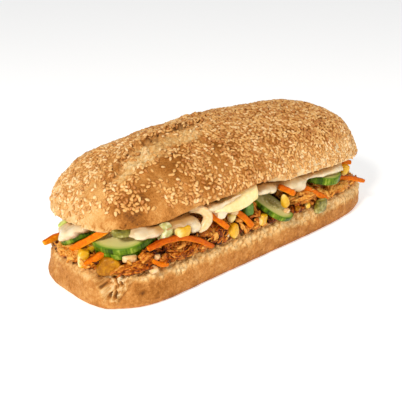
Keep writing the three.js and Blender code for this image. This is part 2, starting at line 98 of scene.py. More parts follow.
def grain(points, size, octaves=3, seed=0):
    """Soft noise from about -1 to 1 whose lumps are `size` across; seed picks another patch of it."""
    shift = Vector((17.3 * seed, 5.1 * seed, 9.7 * seed))
    return np.array([noise.fractal(Vector(p) / size + shift, 1.0, 2.0, octaves) for p in points])


def pits(points, size, seed=0):
    """Distance to the nearest of many scattered points, 0 in a pit's middle and about 1 between pits."""
    shift = Vector((3.7 * seed, 11.9 * seed, 7.3 * seed))
    return np.array([noise.voronoi(Vector(p) / size + shift)[0][0] for p in points])


def signed_power(v, p):
    """A power that keeps the sign."""
    return np.sign(v) * np.abs(v) ** p


def outline(long, wide, corner, steps):
    """A rounded rectangle as a superellipse, its points evenly spaced along it."""
    a = np.linspace(0, 2 * math.pi, 4001)
    x = signed_power(np.cos(a), 2 / corner) * long / 2
    y = signed_power(np.sin(a), 2 / corner) * wide / 2
    way = np.concatenate([[0], np.cumsum(np.hypot(np.diff(x), np.diff(y)))])
    even = np.linspace(0, way[-1], steps + 1)[:-1]
    return np.stack([np.interp(even, way, x), np.interp(even, way, y)], -1)


def outline_share(x, y, long, wide, corner):
    """1 on the outline, 0 in the middle."""
    return (np.abs(2 * x / long) ** corner + np.abs(2 * y / wide) ** corner) ** (1 / corner)


# ------------------------------------------------------------------ mesh helpers
def ring_faces(rings, count):
    """Quads between rings of `count` points. They face outwards where each ring runs counter-clockwise
    seen from where the rings go."""
    r, i = np.meshgrid(np.arange(rings - 1), np.arange(count), indexing="ij")
    j = (i + 1) % count
    quads = np.stack([r * count + i, r * count + j, (r + 1) * count + j, (r + 1) * count + i], -1)
    return quads.reshape(-1, 4).tolist()


def fan(ring_start, count, middle, up):
    """Triangles from one ring to its middle point, facing the way the rings go (up) or back."""
    sides = [(ring_start + i, ring_start + (i + 1) % count) for i in range(count)]
    return [(a, b, middle) if up else (b, a, middle) for a, b in sides]


def closed(rings, first=None, last=None):
    """Points and faces of a closed body: its rings, and a point that shuts each end, by default in the
    middle of the end ring."""
    count = len(rings[0])
    total = len(rings) * count
    ends = [rings[0].mean(0) if first is None else first, rings[-1].mean(0) if last is None else last]
    faces = ring_faces(len(rings), count)
    faces += fan(0, count, total, False) + fan(total - count, count, total + 1, True)
    return np.concatenate(list(rings) + [np.array(ends, float)]), faces


def normals_of(verts, faces):
    """Unit vertex normals of a mesh given as points and faces."""
    out = np.zeros_like(verts)
    for size in (3, 4):
        some = np.array([f for f in faces if len(f) == size])
        if len(some) == 0:
            continue
        across = verts[some[:, 2]] - verts[some[:, 0]]
        other = verts[some[:, -1]] - verts[some[:, 1]]
        n = np.cross(across, other)
        for k in range(size):
            np.add.at(out, some[:, k], n)
    return out / np.maximum(np.linalg.norm(out, axis=1, keepdims=True), 1e-12)


def new_object(name, data):
    """An object that is in the scene."""
    obj = bpy.data.objects.new(name, data)
    scene.collection.objects.link(obj)
    return obj


def new_mesh(name, verts, faces, middle=MIDDLE):
    """A smoothly shaded object from points in millimetres, set about the roll's own middle."""
    mesh = bpy.data.meshes.new(name)
    mesh.from_pydata(((np.asarray(verts, float) + middle) * MM).tolist(), [], faces)
    mesh.polygons.foreach_set("use_smooth", [True] * len(mesh.polygons))
    return new_object(name, mesh)


def set_values(mesh, values):
    """Numbers that the mesh carries at its points, by name."""
    for key, data in values.items():
        mesh.attributes.new(key, "FLOAT", "POINT").data.foreach_set("value", np.asarray(data, np.float32))


def piece(name, verts, faces, material, nodes=(), values=None):
    """A finished mesh that rides with the roll and, where nodes are given, stands for those solids."""
    obj = new_mesh(name, verts, faces)
    set_values(obj.data, values or {})
    obj.data.materials.append(material)
    obj.data.update()
    return own(obj, nodes)


def own(obj, nodes=()):
    """Makes a finished object part of the roll."""
    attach(obj, "root")
    if nodes:
        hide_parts(*nodes)
    return obj


def settled(obj):
    """The object with its modifiers worked into its mesh."""
    graph = bpy.context.evaluated_depsgraph_get()
    mesh = bpy.data.meshes.new_from_object(obj.evaluated_get(graph), depsgraph=graph)
    obj.modifiers.clear()
    obj.data = mesh
    return obj


# ------------------------------------------------------------------ material helpers
def linear(code):
    """An sRGB hex colour as linear RGBA."""
    parts = [int(code[i:i + 2], 16) / 255 for i in (1, 3, 5)]
    return [c / 12.92 if c <= 0.04045 else ((c + 0.055) / 1.055) ** 2.4 for c in parts] + [1.0]


def add(tree, kind, inputs=None, stops=None, **settings):
    """One node with its settings; each input is a value or the socket that feeds it."""
    made = tree.nodes.new(kind)
    for key, value in settings.items():
        setattr(made, key, value)
    for key, value in (inputs or {}).items():
        if isinstance(value, bpy.types.NodeSocket):
            tree.links.new(value, made.inputs[key])
        else:
            made.inputs[key].default_value = value
    if stops:
        points = made.color_ramp.elements
        while len(points) < len(stops):
            points.new(0.5)
        for point, (place, colour) in zip(points, stops):
            point.position = place
            point.color = linear(colour) if isinstance(colour, str) else [colour] * 3 + [1.0]
    return made


def new_material(name):
    """An empty node material and its tree."""
    made = bpy.data.materials.new(name)
    made.use_nodes = True
    made.node_tree.nodes.clear()
    return made, made.node_tree


def calc(tree, operation, *values):
    """One sum, product or the like of sockets and plain numbers."""
    return add(tree, "ShaderNodeMath", dict(enumerate(values)), operation=operation).outputs[0]


def carried(tree, name):
    """A number that the mesh carries at its points."""
    return add(tree, "ShaderNodeAttribute", attribute_name=name).outputs["Fac"]


def own_place(tree):
    """Where a point lies in its object, in metres."""
    return add(tree, "ShaderNodeTexCoord").outputs["Object"]


def place_in_mm(tree):
    """The same in millimetres."""
    where = {0: own_place(tree), "Scale": 1 / MM}
    return add(tree, "ShaderNodeVectorMath", where, operation="SCALE").outputs[0]


def mottling(tree, where, scale, detail):
    """Soft noise from 0 to 1."""
    noisy = add(tree, "ShaderNodeTexNoise", {"Vector": where, "Scale": scale, "Detail": detail})
    return noisy.outputs["Fac"]


def ramp(tree, share, stops):
    """A colour picked from a list of (share, hex colour)."""
    return add(tree, "ShaderNodeValToRGB", {"Fac": share}, stops=stops).outputs["Color"]


def mixed(tree, share, one, other):
    """One colour where share is 0, the other where it is 1; each is a socket or a hex colour."""
    one, other = (linear(c) if isinstance(c, str) else c for c in (one, other))
    return add(tree, "ShaderNodeMix", {0: share, 6: one, 7: other}, data_type="RGBA").outputs[2]


def relief(tree, height, strength, distance):
    """A normal that makes small unevenness show, its distance in metres."""
    bumpy = add(tree, "ShaderNodeBump", {"Height": height, "Strength": strength, "Distance": distance})
    return bumpy.outputs[0]


def surface(tree, colour, bump=None, **sockets):
    """The shader and output of a material: a colour, an optional normal socket, and more inputs by name."""
    shader = add(tree, "ShaderNodeBsdfPrincipled", {"Base Color": colour})
    for key, value in sockets.items():
        socket = shader.inputs[key.replace("_", " ")]
        if isinstance(value, bpy.types.NodeSocket):
            tree.links.new(value, socket)
        else:
            socket.default_value = value
    if bump is not None:
        tree.links.new(bump, shader.inputs["Normal"])
    add(tree, "ShaderNodeOutputMaterial", {"Surface": shader.outputs["BSDF"]})


# ------------------------------------------------------------------ bread
# the crust runs from pale crumb to dark skin, the seeds from well toasted to pale
CRUST_TONES = [(0.0, "#F6DFB2"), (0.2, "#ECC68C"), (0.4, "#DCA660"), (0.6, "#C4823C"), (0.8, "#A0601C"),
               (1.0, "#6C3C0C")]
SEED_TONES = [(0.0, "#BC7834"), (0.35, "#D4984E"), (0.7, "#E6B26A"), (1.0, "#F6D098")]


def baked_crust(name):
    """Oven-browned wheat crust over pale airy crumb: a dry, finely wrinkled, mottled golden skin with a
    low sheen. The point values bake (0 crumb to 1 dark crust) and floury (0 to 1) say what shows where."""
    made, tree = new_material(name)
    mm = place_in_mm(tree)
    floury = carried(tree, "floury")
    mottle = mottling(tree, mm, 1 / 9.0, 4.0)
    speckle = mottling(tree, mm, 1 / 1.3, 3.0)
    fine = mottling(tree, mm, 1 / 0.6, 2.0)
    tone = calc(tree, "ADD", carried(tree, "bake"), calc(tree, "MULTIPLY", mottle, 0.26))
    tone = calc(tree, "ADD", tone, calc(tree, "MULTIPLY", speckle, 0.34))
    tone = calc(tree, "ADD", tone, calc(tree, "MULTIPLY", fine, 0.3))
    tone = calc(tree, "SUBTRACT", tone, 0.45)
    crust = ramp(tree, tone, CRUST_TONES)
    crumbs = add(tree, "ShaderNodeTexVoronoi", {"Vector": mm, "Scale": 1 / 1.7}).outputs["Distance"]
    beads = calc(tree, "MULTIPLY", crumbs, floury)
    flour = calc(tree, "MULTIPLY", calc(tree, "MULTIPLY", floury, speckle), 1.3)
    height = calc(tree, "MULTIPLY_ADD", beads, -1.9, calc(tree, "ADD", speckle, fine))
    colour = mixed(tree, flour, crust, "#F0C47E")
    surface(tree, colour, relief(tree, height, 0.8, 0.0006), Roughness=0.6, IOR=1.45,
            Specular_IOR_Level=0.22)
    return made


def toasted_seed():
    """Hulled sesame toasted in the oven: a smooth cream grain rich in oil, some browner than others."""
    made, tree = new_material("toasted_sesame")
    surface(tree, ramp(tree, carried(tree, "shade"), SEED_TONES), Roughness=0.4, IOR=1.47)
    return made


def lid_sag(x, y):
    """How far the lid's rim hangs below a flat cut face; more towards both ends and along the front."""
    left = 3.8 * smooth(-52, -84, x) + 1.3 * smooth(-92, -103, x)
    right = 3.2 * smooth(-8, 16, x) + 4.4 * smooth(16, 100, x)
    rim = smooth(0.5, 0.86, outline_share(x, y - 2.7, LID["long"], LID["wide"], LID["corner"]))
    return rim * (left + right) * (1 - 0.7 * smooth(-16, 34, y))


def lid_height(x, y, t):
    """Lifts and dips of the dome; t is 0 at the lip and 1 at the top."""
    ends = -1.9 * smooth(34, 70, np.abs(x)) * t ** 4
    ridge = 1.6 * bell(y, 11, 8) * smooth(-34, -14, x) * (1 - smooth(12, 34, x))
    tear = 0.4 * np.exp(-((y + 2 + 0.25 * (x + 60)) / 6) ** 2) * smooth(-88, -70, x)
    tear = tear * (1 - smooth(-30, -10, x))
    dent_a = -1.2 * bell(x, 14, 9) * bell(y, -10, 12)
    dent_b = -1.1 * bell(x, -40, 16) * bell(y, -28, 9)
    return ends + np.sqrt(t) * (ridge + tear + dent_a + dent_b)


def place_lid(p):
    """From the lid's own frame, cut face down, to where it leans back on its rear edge."""
    t = -math.radians(LID["tilt"])
    y = p[:, 1] - LID["wide"] / 2
    back = y * math.cos(t) - p[:, 2] * math.sin(t) + LID["hinge_y"]
    up = y * math.sin(t) + p[:, 2] * math.cos(t) + LID["hinge_z"]
    return np.stack([p[:, 0], back, up], -1)


def under_lid(x, y):
    """How high the lid's underside lies."""
    flat = LID["hinge_z"] + (LID["hinge_y"] - y) * math.tan(math.radians(LID["tilt"]))
    return flat - lid_sag(x, y)


# x and y along the lips of the cut in the top
UPPER_LIP = [
    (-96, -14), (-91, -12.5), (-84, -11), (-76, -5), (-68, -2), (-57, 0), (-46, 0.5), (-34.5, 2), (-22, 2),
    (-4, 8), (10, 9),
]
LOWER_LIP = [
    (-96, -16), (-90, -20), (-85, -21), (-75, -20), (-68, -19), (-59, -19), (-50, -15), (-45, -14.5),
    (-28, -14), (-15, -9), (-4, -1), (10, 4),
]


def slash(x, y):
    """The baker's cut along the top, opened in the oven: (across, inside). Across is -1 at its lower lip
    and 1 at its upper lip; inside is 1 along its length and fades to 0 at its ends."""
    upper = np.interp(x, *zip(*UPPER_LIP))
    lower = np.interp(x, *zip(*LOWER_LIP))
    inside = smooth(-97, -89, x) * smooth(8, -16, x)
    return (2 * y - upper - lower) / (upper - lower), inside


def lid_mesh(steps=740, side_rings=84):
    """Points and faces of the upper half, before its skin is roughened."""
    edge = outline(LID["long"], LID["wide"], LID["corner"], steps)
    rings = []

    def ring(k, z, t):
        """One ring: its share of the full width, its height, and 0 at the lip to 1 at the top."""
        x = edge[:, 0] * (1 - (1 - k) * LID["wide"] / LID["long"])
        y = edge[:, 1] * k
        hang = lid_sag(x, y) * smooth(0.5, 0, t)
        rings.append(place_lid(np.stack([x, y, z - hang + lid_height(x, y, t)], -1)))

    for k in np.linspace(0.06, 0.75, 16)[:-1]:
        ring(k, 0, 0)
    for t in np.linspace(1, 0, 8)[:-1]:
        ring(1 - LID["tuck"] * t ** 1.6, LID["lip"] * (1 - t), 0)
    for a in np.linspace(0, 1, side_rings) * math.radians(87.5):
        t = math.sin(a) ** (2 / LID["power"])
        ring(math.cos(a) ** (2 / LID["power"]), LID["lip"] + LID["dome"] * t, t)
    verts = np.concatenate(rings)
    faces = ring_faces(len(rings), steps)
    low = len(verts)
    top = (len(rings) - 1) * steps
    half = steps // 2
    last = rings[-1]
    partner = (steps - np.arange(steps)) % steps
    seam = (last + last[partner])[1:half] / 2 + [0, 0, 0.05]
    verts = np.concatenate([verts, [rings[0].mean(0)], seam])
    faces += fan(0, steps, low, False)
    at = [top] + [low + 1 + i for i in range(half - 1)] + [top + half]
    for i in range(half):
        a, b, c, d = top + i, top + i + 1, top + partner[i], top + partner[i + 1]
        for quad in ([a, b, at[i + 1], at[i]], [d, c, at[i], at[i + 1]]):
            clean = list(dict.fromkeys(int(q) for q in quad))
            if len(clean) > 2:
                faces.append(clean)
    return verts, faces


def make_lid(material):
    """The seeded upper half, with the cut along its top."""
    verts, faces = lid_mesh()
    normal = normals_of(verts, faces)
    x, y, z = verts.T
    outer = smooth(-0.35, 0.05, normal[:, 2]) * smooth(under_lid(x, y) - 0.5, under_lid(x, y) + 2.5, z)
    across, inside = slash(x, y)
    broad = grain(verts, 21, 2, 1)
    lumps = grain(verts, 8, 3, 2)
    fine = grain(verts, 2.6, 3, 3)
    ragged = grain(verts, 4.2, 3, 4)
    inside = inside * smooth(54, 64, z)

    # the opened cut: a rough floor that drops under a raised upper lip and rises to a torn lower lip
    wander = across + 0.45 * ragged + 0.3 * lumps + 0.1 * fine
    grit = grain(verts, 1.5, 2, 8)
    floor = smooth(-1.0, -0.8, wander) * smooth(1.0, 0.88, wander) * inside
    upper = bell(wander, 1.16, 0.2) * inside
    lower = bell(wander, -1.1, 0.2) * inside * smooth(-0.3, 0.3, ragged)
    flake = smooth(0.18, 0.4, grain(verts, 3.4, 2, 5)) * floor
    lift = 0.75 * broad + 0.5 * lumps + 0.2 * fine
    lift = lift + 1.1 * upper + 0.8 * lower - floor * (0.3 + 1.5 * smooth(-0.3, 0.8, wander))
    lift = lift + floor * (1.0 * ragged + 0.9 * fine + 0.7 * grit) + 0.9 * flake
    # creases and a blister
    crease = np.exp(-((x - 6 + 0.6 * (y + 27)) / 1.6) ** 2) * bell(y, -27, 6)
    split = np.exp(-((x + 20.7 + 0.5 * (y + 6)) / 1.3) ** 2) * bell(y, -6, 2.8)
    blister = bell(x, -8, 4.2) * bell(y, 15, 3.6) * smooth(-0.3, 0.3, fine)
    fold = np.exp(-((x + 72 + 0.25 * (z - 50)) / 1.4) ** 2) * bell(z, 50, 6) * smooth(-30, -36, y)
    fold = fold + np.exp(-((x + 61 + 0.3 * (z - 50)) / 1.6) ** 2) * bell(z, 52, 6) * smooth(-30, -36, y)
    lift = lift - 1.7 * crease - 1.9 * split + 1.9 * blister - 0.9 * fold
    rim = bell(z, under_lid(x, y) + 0.8, 1.9) * smooth(20, 6, y)
    # fine cracks low on the left end, sunk here and painted darker in the bake below: painted shade in them
    cracks = smooth(0.1, 0.02, np.abs(grain(verts * [1, 1, 0.3], 3.0, 2, 6)))
    cracks = cracks * smooth(-84, -95, x) * smooth(10, 3, z - under_lid(x, y)) * outer
    lift = lift - 0.8 * cracks
    lift = lift * outer + (1 - outer) * 0.35 * lumps + rim * (1.5 * ragged + 0.9 * fine)
    verts = verts + normal * lift[:, None]
    verts[:, 2] += rim * (1.3 * ragged + 0.6 * fine)
    verts[:, 2] += (1.5 * bell(x, -8, 13) * smooth(under_lid(x, y) + 9, under_lid(x, y) + 1, z)
                    * smooth(-28, -40, y))

    bake = 0.64 + 0.22 * broad + 0.12 * lumps + 0.08 * fine
    bake = bake + 0.32 * bell(z, 51, 6.5) * smooth(-80, -92, x) * smooth(-10, -26, y)
    bake = bake + 0.2 * bell(z, 43, 5) * smooth(-108, -98, x) * smooth(-70, -84, x) * smooth(-24, -36, y)
    bake = bake - 0.12 * bell(x, -62, 14) * smooth(58, 48, z) * smooth(-28, -38, y)
    # paler towards the left end and the upper left, darker on the front slope in the middle: partly painted
    # light falling from the left, partly a lighter bake
    bake = bake - 0.56 * smooth(-30, 40, x) * smooth(62, 46, z) - 0.12 * smooth(-86, -100, x)
    bake = bake - 0.18 * smooth(-50, -80, x) * smooth(-30, -6, y) + 0.3 * cracks
    bake = bake + 0.13 * bell(x, -32, 30) * bell(y, -22, 12) + 0.06 * smooth(-10, 20, x) * smooth(56, 66, z)
    # the blister is browner; the creases and the split are painted darker: painted shade in them
    bake = bake + 0.08 * upper + 0.14 * lower + 0.35 * blister + 0.3 * crease + 0.7 * split + 0.1 * flake
    # painted shadow of the upper lip: a dark line at its foot and the floor darker towards it; the dark line
    # at the lower lip is its browner torn edge
    bake = bake + inside * (0.16 * bell(wander, 0.98, 0.1)
                            + 0.14 * bell(wander, -1.0, 0.1) * smooth(-0.1, 0.3, lumps))
    bake = bake - 0.36 * floor + 0.36 * floor * smooth(0.1, 0.8, wander)
    bake = bake - 0.3 * floor * grit - 0.5 * rim * smooth(-0.2, 0.3, ragged)
    under = smooth(0.1, -0.5, normal[:, 2]) * smooth(under_lid(x, y) + 1.5, under_lid(x, y) - 0.5, z)
    bake = bake * (1 - under) + 0.2 * under
    floury = floor * 0.4 * (1 - 0.6 * flake) + 0.3 * under
    floury = floury + 0.3 * smooth(-10, 40, x) * smooth(54, 42, z) * (1 - under)
    return piece("seeded_lid", verts, faces, material, ["bread_lid"], {
        "bake": bake, "floury": floury, "seeds": seed_cover(verts, normal, floor, outer)})


def seed_cover(verts, normal, floor, outer):
    """How densely seeds lie: 0 bare to 1 packed."""
    x, y, z = verts.T
    clusters = grain(verts, 11, 2, 7)
    cover = 0.86 + 1.0 * clusters
    cover = cover + 0.35 * smooth(-40, 10, x) + 0.25 * smooth(-12, 12, y)
    cover = cover * (1 - floor * (0.9 - 0.5 * smooth(-44, -16, x)))
    bare = bell(x, -97, 7) * bell(y, -6, 9) * bell(z, 56, 6)
    bare = bare + bell(x, -78, 8) * bell(z, 56, 5) * smooth(-24, -30, y)
    bare = bare + bell(x, -75, 7) * bell(y, -25, 4) * bell(z, 64, 4)
    bare = bare + bell(x, -37, 7) * bell(y, -36, 5) * bell(z, 61, 5)
    bare = bare + smooth(51.5, 48, z) * smooth(-50, -62, x) * smooth(-6, -14, y)
    bare = bare + 0.75 * smooth(50, 45, z) * smooth(-8, -20, x)
    cover = cover * (1 - np.clip(bare, 0, 1))
    cover = cover * outer * smooth(0, 0.12, normal[:, 2] + 0.3 * smooth(10, 60, x))
    return np.clip(cover, 0, 1)


def seed_shape():
    """One sesame grain along x, sunk a little into z = 0: a blunt drop of thirty triangles."""
    around, along = 5, 3
    long, wide, thick = SEED["long"], SEED["wide"], SEED["thick"]
    rings = []
    for r in range(along):
        u = (r + 1) / (along + 1)
        fat = math.sin(math.pi * u ** 0.8) ** 0.75
        turns = [2 * math.pi * i / around for i in range(around)]
        rings.append(np.array([((-0.5 + u) * long, -0.5 * fat * math.sin(a) * wide,
                                0.5 * fat * math.cos(a) * thick + 0.2 * thick) for a in turns]))
    verts, faces = closed(rings, (-0.5 * long, 0, 0.15), (0.5 * long, 0, 0.15))
    return new_mesh("seed_shape", verts, faces, middle=0)


def scatter_tree(spacing, most, seed):
    """A node tree that lays copies of a grain over a surface, denser where the surface says so."""
    tree = bpy.data.node_groups.new("scattered_grains", "GeometryNodeTree")
    face = tree.interface
    face.new_socket("Geometry", in_out="OUTPUT", socket_type="NodeSocketGeometry")
    face.new_socket("Geometry", in_out="INPUT", socket_type="NodeSocketGeometry")
    asked = {"Spacing": ("Float", spacing), "Most per square metre": ("Float", most),
             "Grain": ("Object", None), "Material": ("Material", None)}
    for name, (kind, value) in asked.items():
        socket = face.new_socket(name, in_out="INPUT", socket_type="NodeSocket" + kind)
        if value is not None:
            socket.default_value = value
    given = add(tree, "NodeGroupInput").outputs
    cover, baked = [add(tree, "GeometryNodeInputNamedAttribute", {"Name": name},
                        data_type="FLOAT").outputs["Attribute"] for name in ("seeds", "bake")]
    points = add(tree, "GeometryNodeDistributePointsOnFaces", {
        "Mesh": given["Geometry"], "Distance Min": given["Spacing"],
        "Density Max": given["Most per square metre"], "Density Factor": cover, "Seed": seed},
        distribute_method="POISSON")
    grain_in = add(tree, "GeometryNodeObjectInfo", {"Object": given["Grain"]}).outputs["Geometry"]
    spin = add(tree, "FunctionNodeRandomValue", {
        0: (-0.22, -0.22, 0.0), 1: (0.22, 0.22, 2 * math.pi), "Seed": seed + 1}, data_type="FLOAT_VECTOR")
    size = add(tree, "FunctionNodeRandomValue", {
        0: (0.82, 0.85, 0.85), 1: (1.14, 1.12, 1.1), "Seed": seed + 2}, data_type="FLOAT_VECTOR")
    turned = add(tree, "FunctionNodeRotateRotation", {
        "Rotation": points.outputs["Rotation"], "Rotate By": spin.outputs["Value"]}, rotation_space="LOCAL")
    laid = add(tree, "GeometryNodeInstanceOnPoints", {
        "Points": points.outputs["Points"], "Instance": grain_in,
        "Rotation": turned.outputs[0], "Scale": size.outputs["Value"]}).outputs[0]
    luck = add(tree, "FunctionNodeRandomValue", {2: 0.3, 3: 1.3, "Seed": seed + 3},
               data_type="FLOAT").outputs[1]
    shade = calc(tree, "MULTIPLY_ADD", baked, -0.55, luck)
    named = add(tree, "GeometryNodeStoreNamedAttribute", {
        "Geometry": laid, "Name": "shade", "Value": shade}, data_type="FLOAT", domain="INSTANCE").outputs[0]
    real = add(tree, "GeometryNodeRealizeInstances", {"Geometry": named}).outputs[0]
    done = add(tree, "GeometryNodeSetMaterial", {"Geometry": real, "Material": given["Material"]}).outputs[0]
    add(tree, "NodeGroupOutput", {"Geometry": done})
    return tree


def scatter(base, name, grain_shape, material, spacing, most, seed):
    """Real grains over a finished piece, as one plain mesh."""
    obj = new_object(name, base.data.copy())
    tree = scatter_tree(spacing * MM, most, seed)
    modifier = obj.modifiers.new("scatter", "NODES")
    modifier.node_group = tree
    ids = {s.name: s.identifier for s in tree.interface.items_tree if s.in_out == "INPUT"}
    modifier[ids["Grain"]] = grain_shape
    modifier[ids["Material"]] = material
    settled(obj)
    obj.data.name = name
    return own(obj)


# ------------------------------------------------------------------ the lower half
# the torn pocket: its middle, half its width at the rim, the height of its foot, its depth and its way in
POCKET = dict(x=-102.3, y=-26, half=10.0, foot=5.6, deep=7.4)
INWARD = (0.94, 0.34, 0.0)


def heel_bulge(z):
    """How far the side of the lower half stands out at a height."""
    return np.interp(z, *zip(*HEEL_SIDE))


def make_heel(material):
    """The lower half: crust below, a band of torn crumb along its cut rim, and the pocket torn out of its
    front left corner."""
    steps = 980
    rings, back = [], []

    def ring(inset, z, behind=0.0):
        """One ring drawn in by `inset` at a height; behind is how far in from the cut rim it lies."""
        edge = outline(HEEL["long"] - 2 * inset, HEEL["wide"] - 2 * inset, HEEL["corner"], steps)
        rings.append(np.concatenate([edge, np.full((steps, 1), float(z))], 1))
        back.append(np.full(steps, behind))

    for inset in (30, 16, 8, 4.5):
        ring(inset, 0)
    for z in np.concatenate([[0, 0.25, 0.6, 1.1], np.linspace(1.8, HEEL["high"], 34)]):
        ring(-heel_bulge(z), z)
    for inset in (1.9, 2.5, 3.2, 4, 5, 6.2, 7.6, 9.5, 12, 16, 24):
        ring(inset, HEEL["high"], inset)
    behind = np.concatenate(back + [[0.0, 40.0]])
    verts, faces = closed(rings, (0, 0, 0), (0, 0, HEEL["high"]))
    normal = normals_of(verts, faces)
    x, y, z = verts.T
    broad = grain(verts, 18, 2, 11)
    lumps = grain(verts, 6, 3, 12)
    fine = grain(verts, 1.9, 3, 13)
    holes = pits(verts, 2.7, 14)
    small_holes = pits(verts, 1.5, 15)
    beads = pits(verts * [1, 1, 0.7], 2.3, 16)
    base = smooth(0.0, 1.4, z)
    on_side = smooth(0.8, 0.4, np.abs(normal[:, 2]))
    edge_line = 12.8 + 2.2 * lumps - 2.6 * smooth(-40, 40, x) * smooth(0, -20, y)
    edge_line = edge_line + 2.4 * smooth(-84, -100, x)
    crumb = smooth(edge_line - 2.0, edge_line + 2.4, z)
    rim = smooth(HEEL["high"] - 3.4, HEEL["high"], z)
    lift = base * (0.5 * broad + 0.34 * lumps + 0.12 * fine)
    lift = lift + crumb * (0.5 * fine + 1.1 * smooth(0.7, 0.2, beads) - 0.5
                           - 1.1 * smooth(0.35, 0.08, small_holes))
    lift = lift + rim * (1.1 * lumps + 0.6 * fine - 0.5)
    lift = lift - 0.9 * smooth(-98, -107, x) * smooth(-14, 4, y)
    # the torn pocket at the front left corner: wide at the rim, narrow at its foot
    along = (x - POCKET["x"]) * 0.67 - (y - POCKET["y"]) * 0.74
    rise = np.clip((z - POCKET["foot"]) / (HEEL["high"] - POCKET["foot"]), 0, 1)
    width = POCKET["half"] * (0.3 + 0.7 * rise)
    reach = np.abs(along) / width + 0.3 * lumps + 0.16 * fine
    near = smooth(-12, -16, y) * smooth(-86, -92, x) * smooth(-88, -97, x + 0.5 * y + 8)
    torn = smooth(1.0, 0.86, reach) * smooth(POCKET["foot"] - 0.6, POCKET["foot"] + 1.2, z + 1.4 * lumps)
    torn = torn * near
    side = along / width + 0.3 * lumps + 0.16 * fine
    bowl = smooth(-1.0, -0.72, side) * np.clip((1.0 - side) / 1.6, 0, 1) ** 0.8
    bowl = bowl * smooth(POCKET["foot"] - 0.5, POCKET["foot"] + 6.5, z)
    tear = POCKET["deep"] * bowl * (1 + 0.25 * lumps)
    tear = np.sqrt(behind ** 2 + tear ** 2) - behind
    pores = 3.0 * smooth(0.6, 0.2, holes) + 1.6 * smooth(0.5, 0.15, small_holes) + 0.9 * fine
    tear = tear + pores * (behind < 7)
    lift = lift * (1 - torn)
    lip = bell(reach, 1.08, 0.15) * (0.7 + 0.5 * smooth(-3, 5, along)) * near * on_side
    lip = lip * smooth(POCKET["foot"] - 3, POCKET["foot"], z)
    lift = lift + lip * (1.3 + 1.2 * lumps + 0.9 * fine)
    verts = verts + normal * lift[:, None] + np.outer(torn * tear, INWARD)
    low = smooth(11, 2, z)
    verts[:, 1] -= 2.3 * bell(x, -84, 20) * smooth(-30, -36, y) * low
    verts[:, 0] -= 1.9 * bell(y, 3, 15) * smooth(-96, -104, x) * low
    verts[:, 0] += 0.8 * smooth(4, 24, y) * smooth(-90, -100, x) * smooth(4, 10, z)
    verts[:, 2] = np.maximum(verts[:, 2], 0)

    bake = 0.58 + 0.08 * broad + 0.1 * lumps + 0.12 * fine + 0.06 * smooth(-100, -84, x)
    bake = bake + 0.1 * bell(x, -84, 15) * smooth(-20, -30, y) + 0.14 * smooth(7, 0, z) * smooth(-96, -70, x)
    bake = bake + 0.5 * bell(x, -110, 1.4) * bell(y, 3, 1.0) * bell(z, 9, 1.0)
    bake = bake + 0.3 * np.exp(-((x + 91) ** 2 + (z - 8) ** 2) / 3) * (y < -30)
    # the torn crumb band is darker between its beads and in its small holes: painted shade in them
    inner = 0.22 + 0.14 * fine + 0.24 * rim + 0.3 * smooth(0.5, 0.85, beads)
    inner = inner + 0.32 * smooth(0.3, 0.05, small_holes)
    bake = bake * (1 - crumb) + crumb * (inner + 0.1 * smooth(-80, -104, x))
    # inside the pocket, painted shade: dark in its holes and pores, darker along its left side and towards
    # its foot
    crater = 0.13 + 0.9 * smooth(0.62, 0.3, holes) + 0.55 * smooth(0.5, 0.15, small_holes) + 0.2 * fine
    crater = crater + 0.4 * smooth(-3, -7.5, along) + 0.16 * smooth(POCKET["foot"] + 3, POCKET["foot"], z)
    bake = bake * (1 - torn) + torn * crater
    bake = bake * (1 - 0.8 * lip) + 0.8 * lip * (0.44 + 0.3 * fine)
    piece("torn_heel", verts, faces, material, ["bread_heel"], {
        "bake": bake, "floury": 0.3 * crumb * (1 - torn) + 0.12 * torn})


# ------------------------------------------------------------------ shapes the fillings share
def turning(turn=0, lean=0, roll=0):
    """Leaned about x, then rolled about y, then turned about z, in degrees."""
    about_z, about_y, about_x = [Matrix.Rotation(math.radians(angle), 3, axis)
                                 for angle, axis in ((turn, "Z"), (roll, "Y"), (lean, "X"))]
    return np.array(about_z @ about_y @ about_x)


def ball(around=24, up=14):
    """A unit ball's points and faces."""
    turns = [2 * math.pi * i / around for i in range(around)]
    rings = []
    for k in range(1, up):
        a = math.pi * (k / up - 0.5)
        rings.append(np.array([(math.cos(a) * math.cos(b), math.cos(a) * math.sin(b), math.sin(a))
                               for b in turns]))
    return closed(rings, (0, 0, -1), (0, 0, 1))


def curve(through, steps):
    """Evenly spaced points on a smooth curve through the given ones."""
    p = np.array(through, float)
    p = np.concatenate([[2 * p[0] - p[1]], p, [2 * p[-1] - p[-2]]])
    u = np.linspace(0, 1, 20, endpoint=False)[:, None]
    parts = []
    for a, b, c, d in zip(p, p[1:], p[2:], p[3:]):
        parts.append(0.5 * (2 * b + (c - a) * u + (2 * a - 5 * b + 4 * c - d) * u ** 2
                            + (3 * b - a - 3 * c + d) * u ** 3))
    way_points = np.concatenate(parts + [p[-2:-1]])
    way = np.concatenate([[0], np.cumsum(np.linalg.norm(np.diff(way_points, axis=0), axis=1))])
    even = np.linspace(0, way[-1], steps)
    return np.stack([np.interp(even, way, way_points[:, k]) for k in range(3)], -1)


def unit(v):
    """The same way, one long."""
    v = np.asarray(v, float)
    return v / np.maximum(np.linalg.norm(v, axis=-1, keepdims=True), 1e-12)


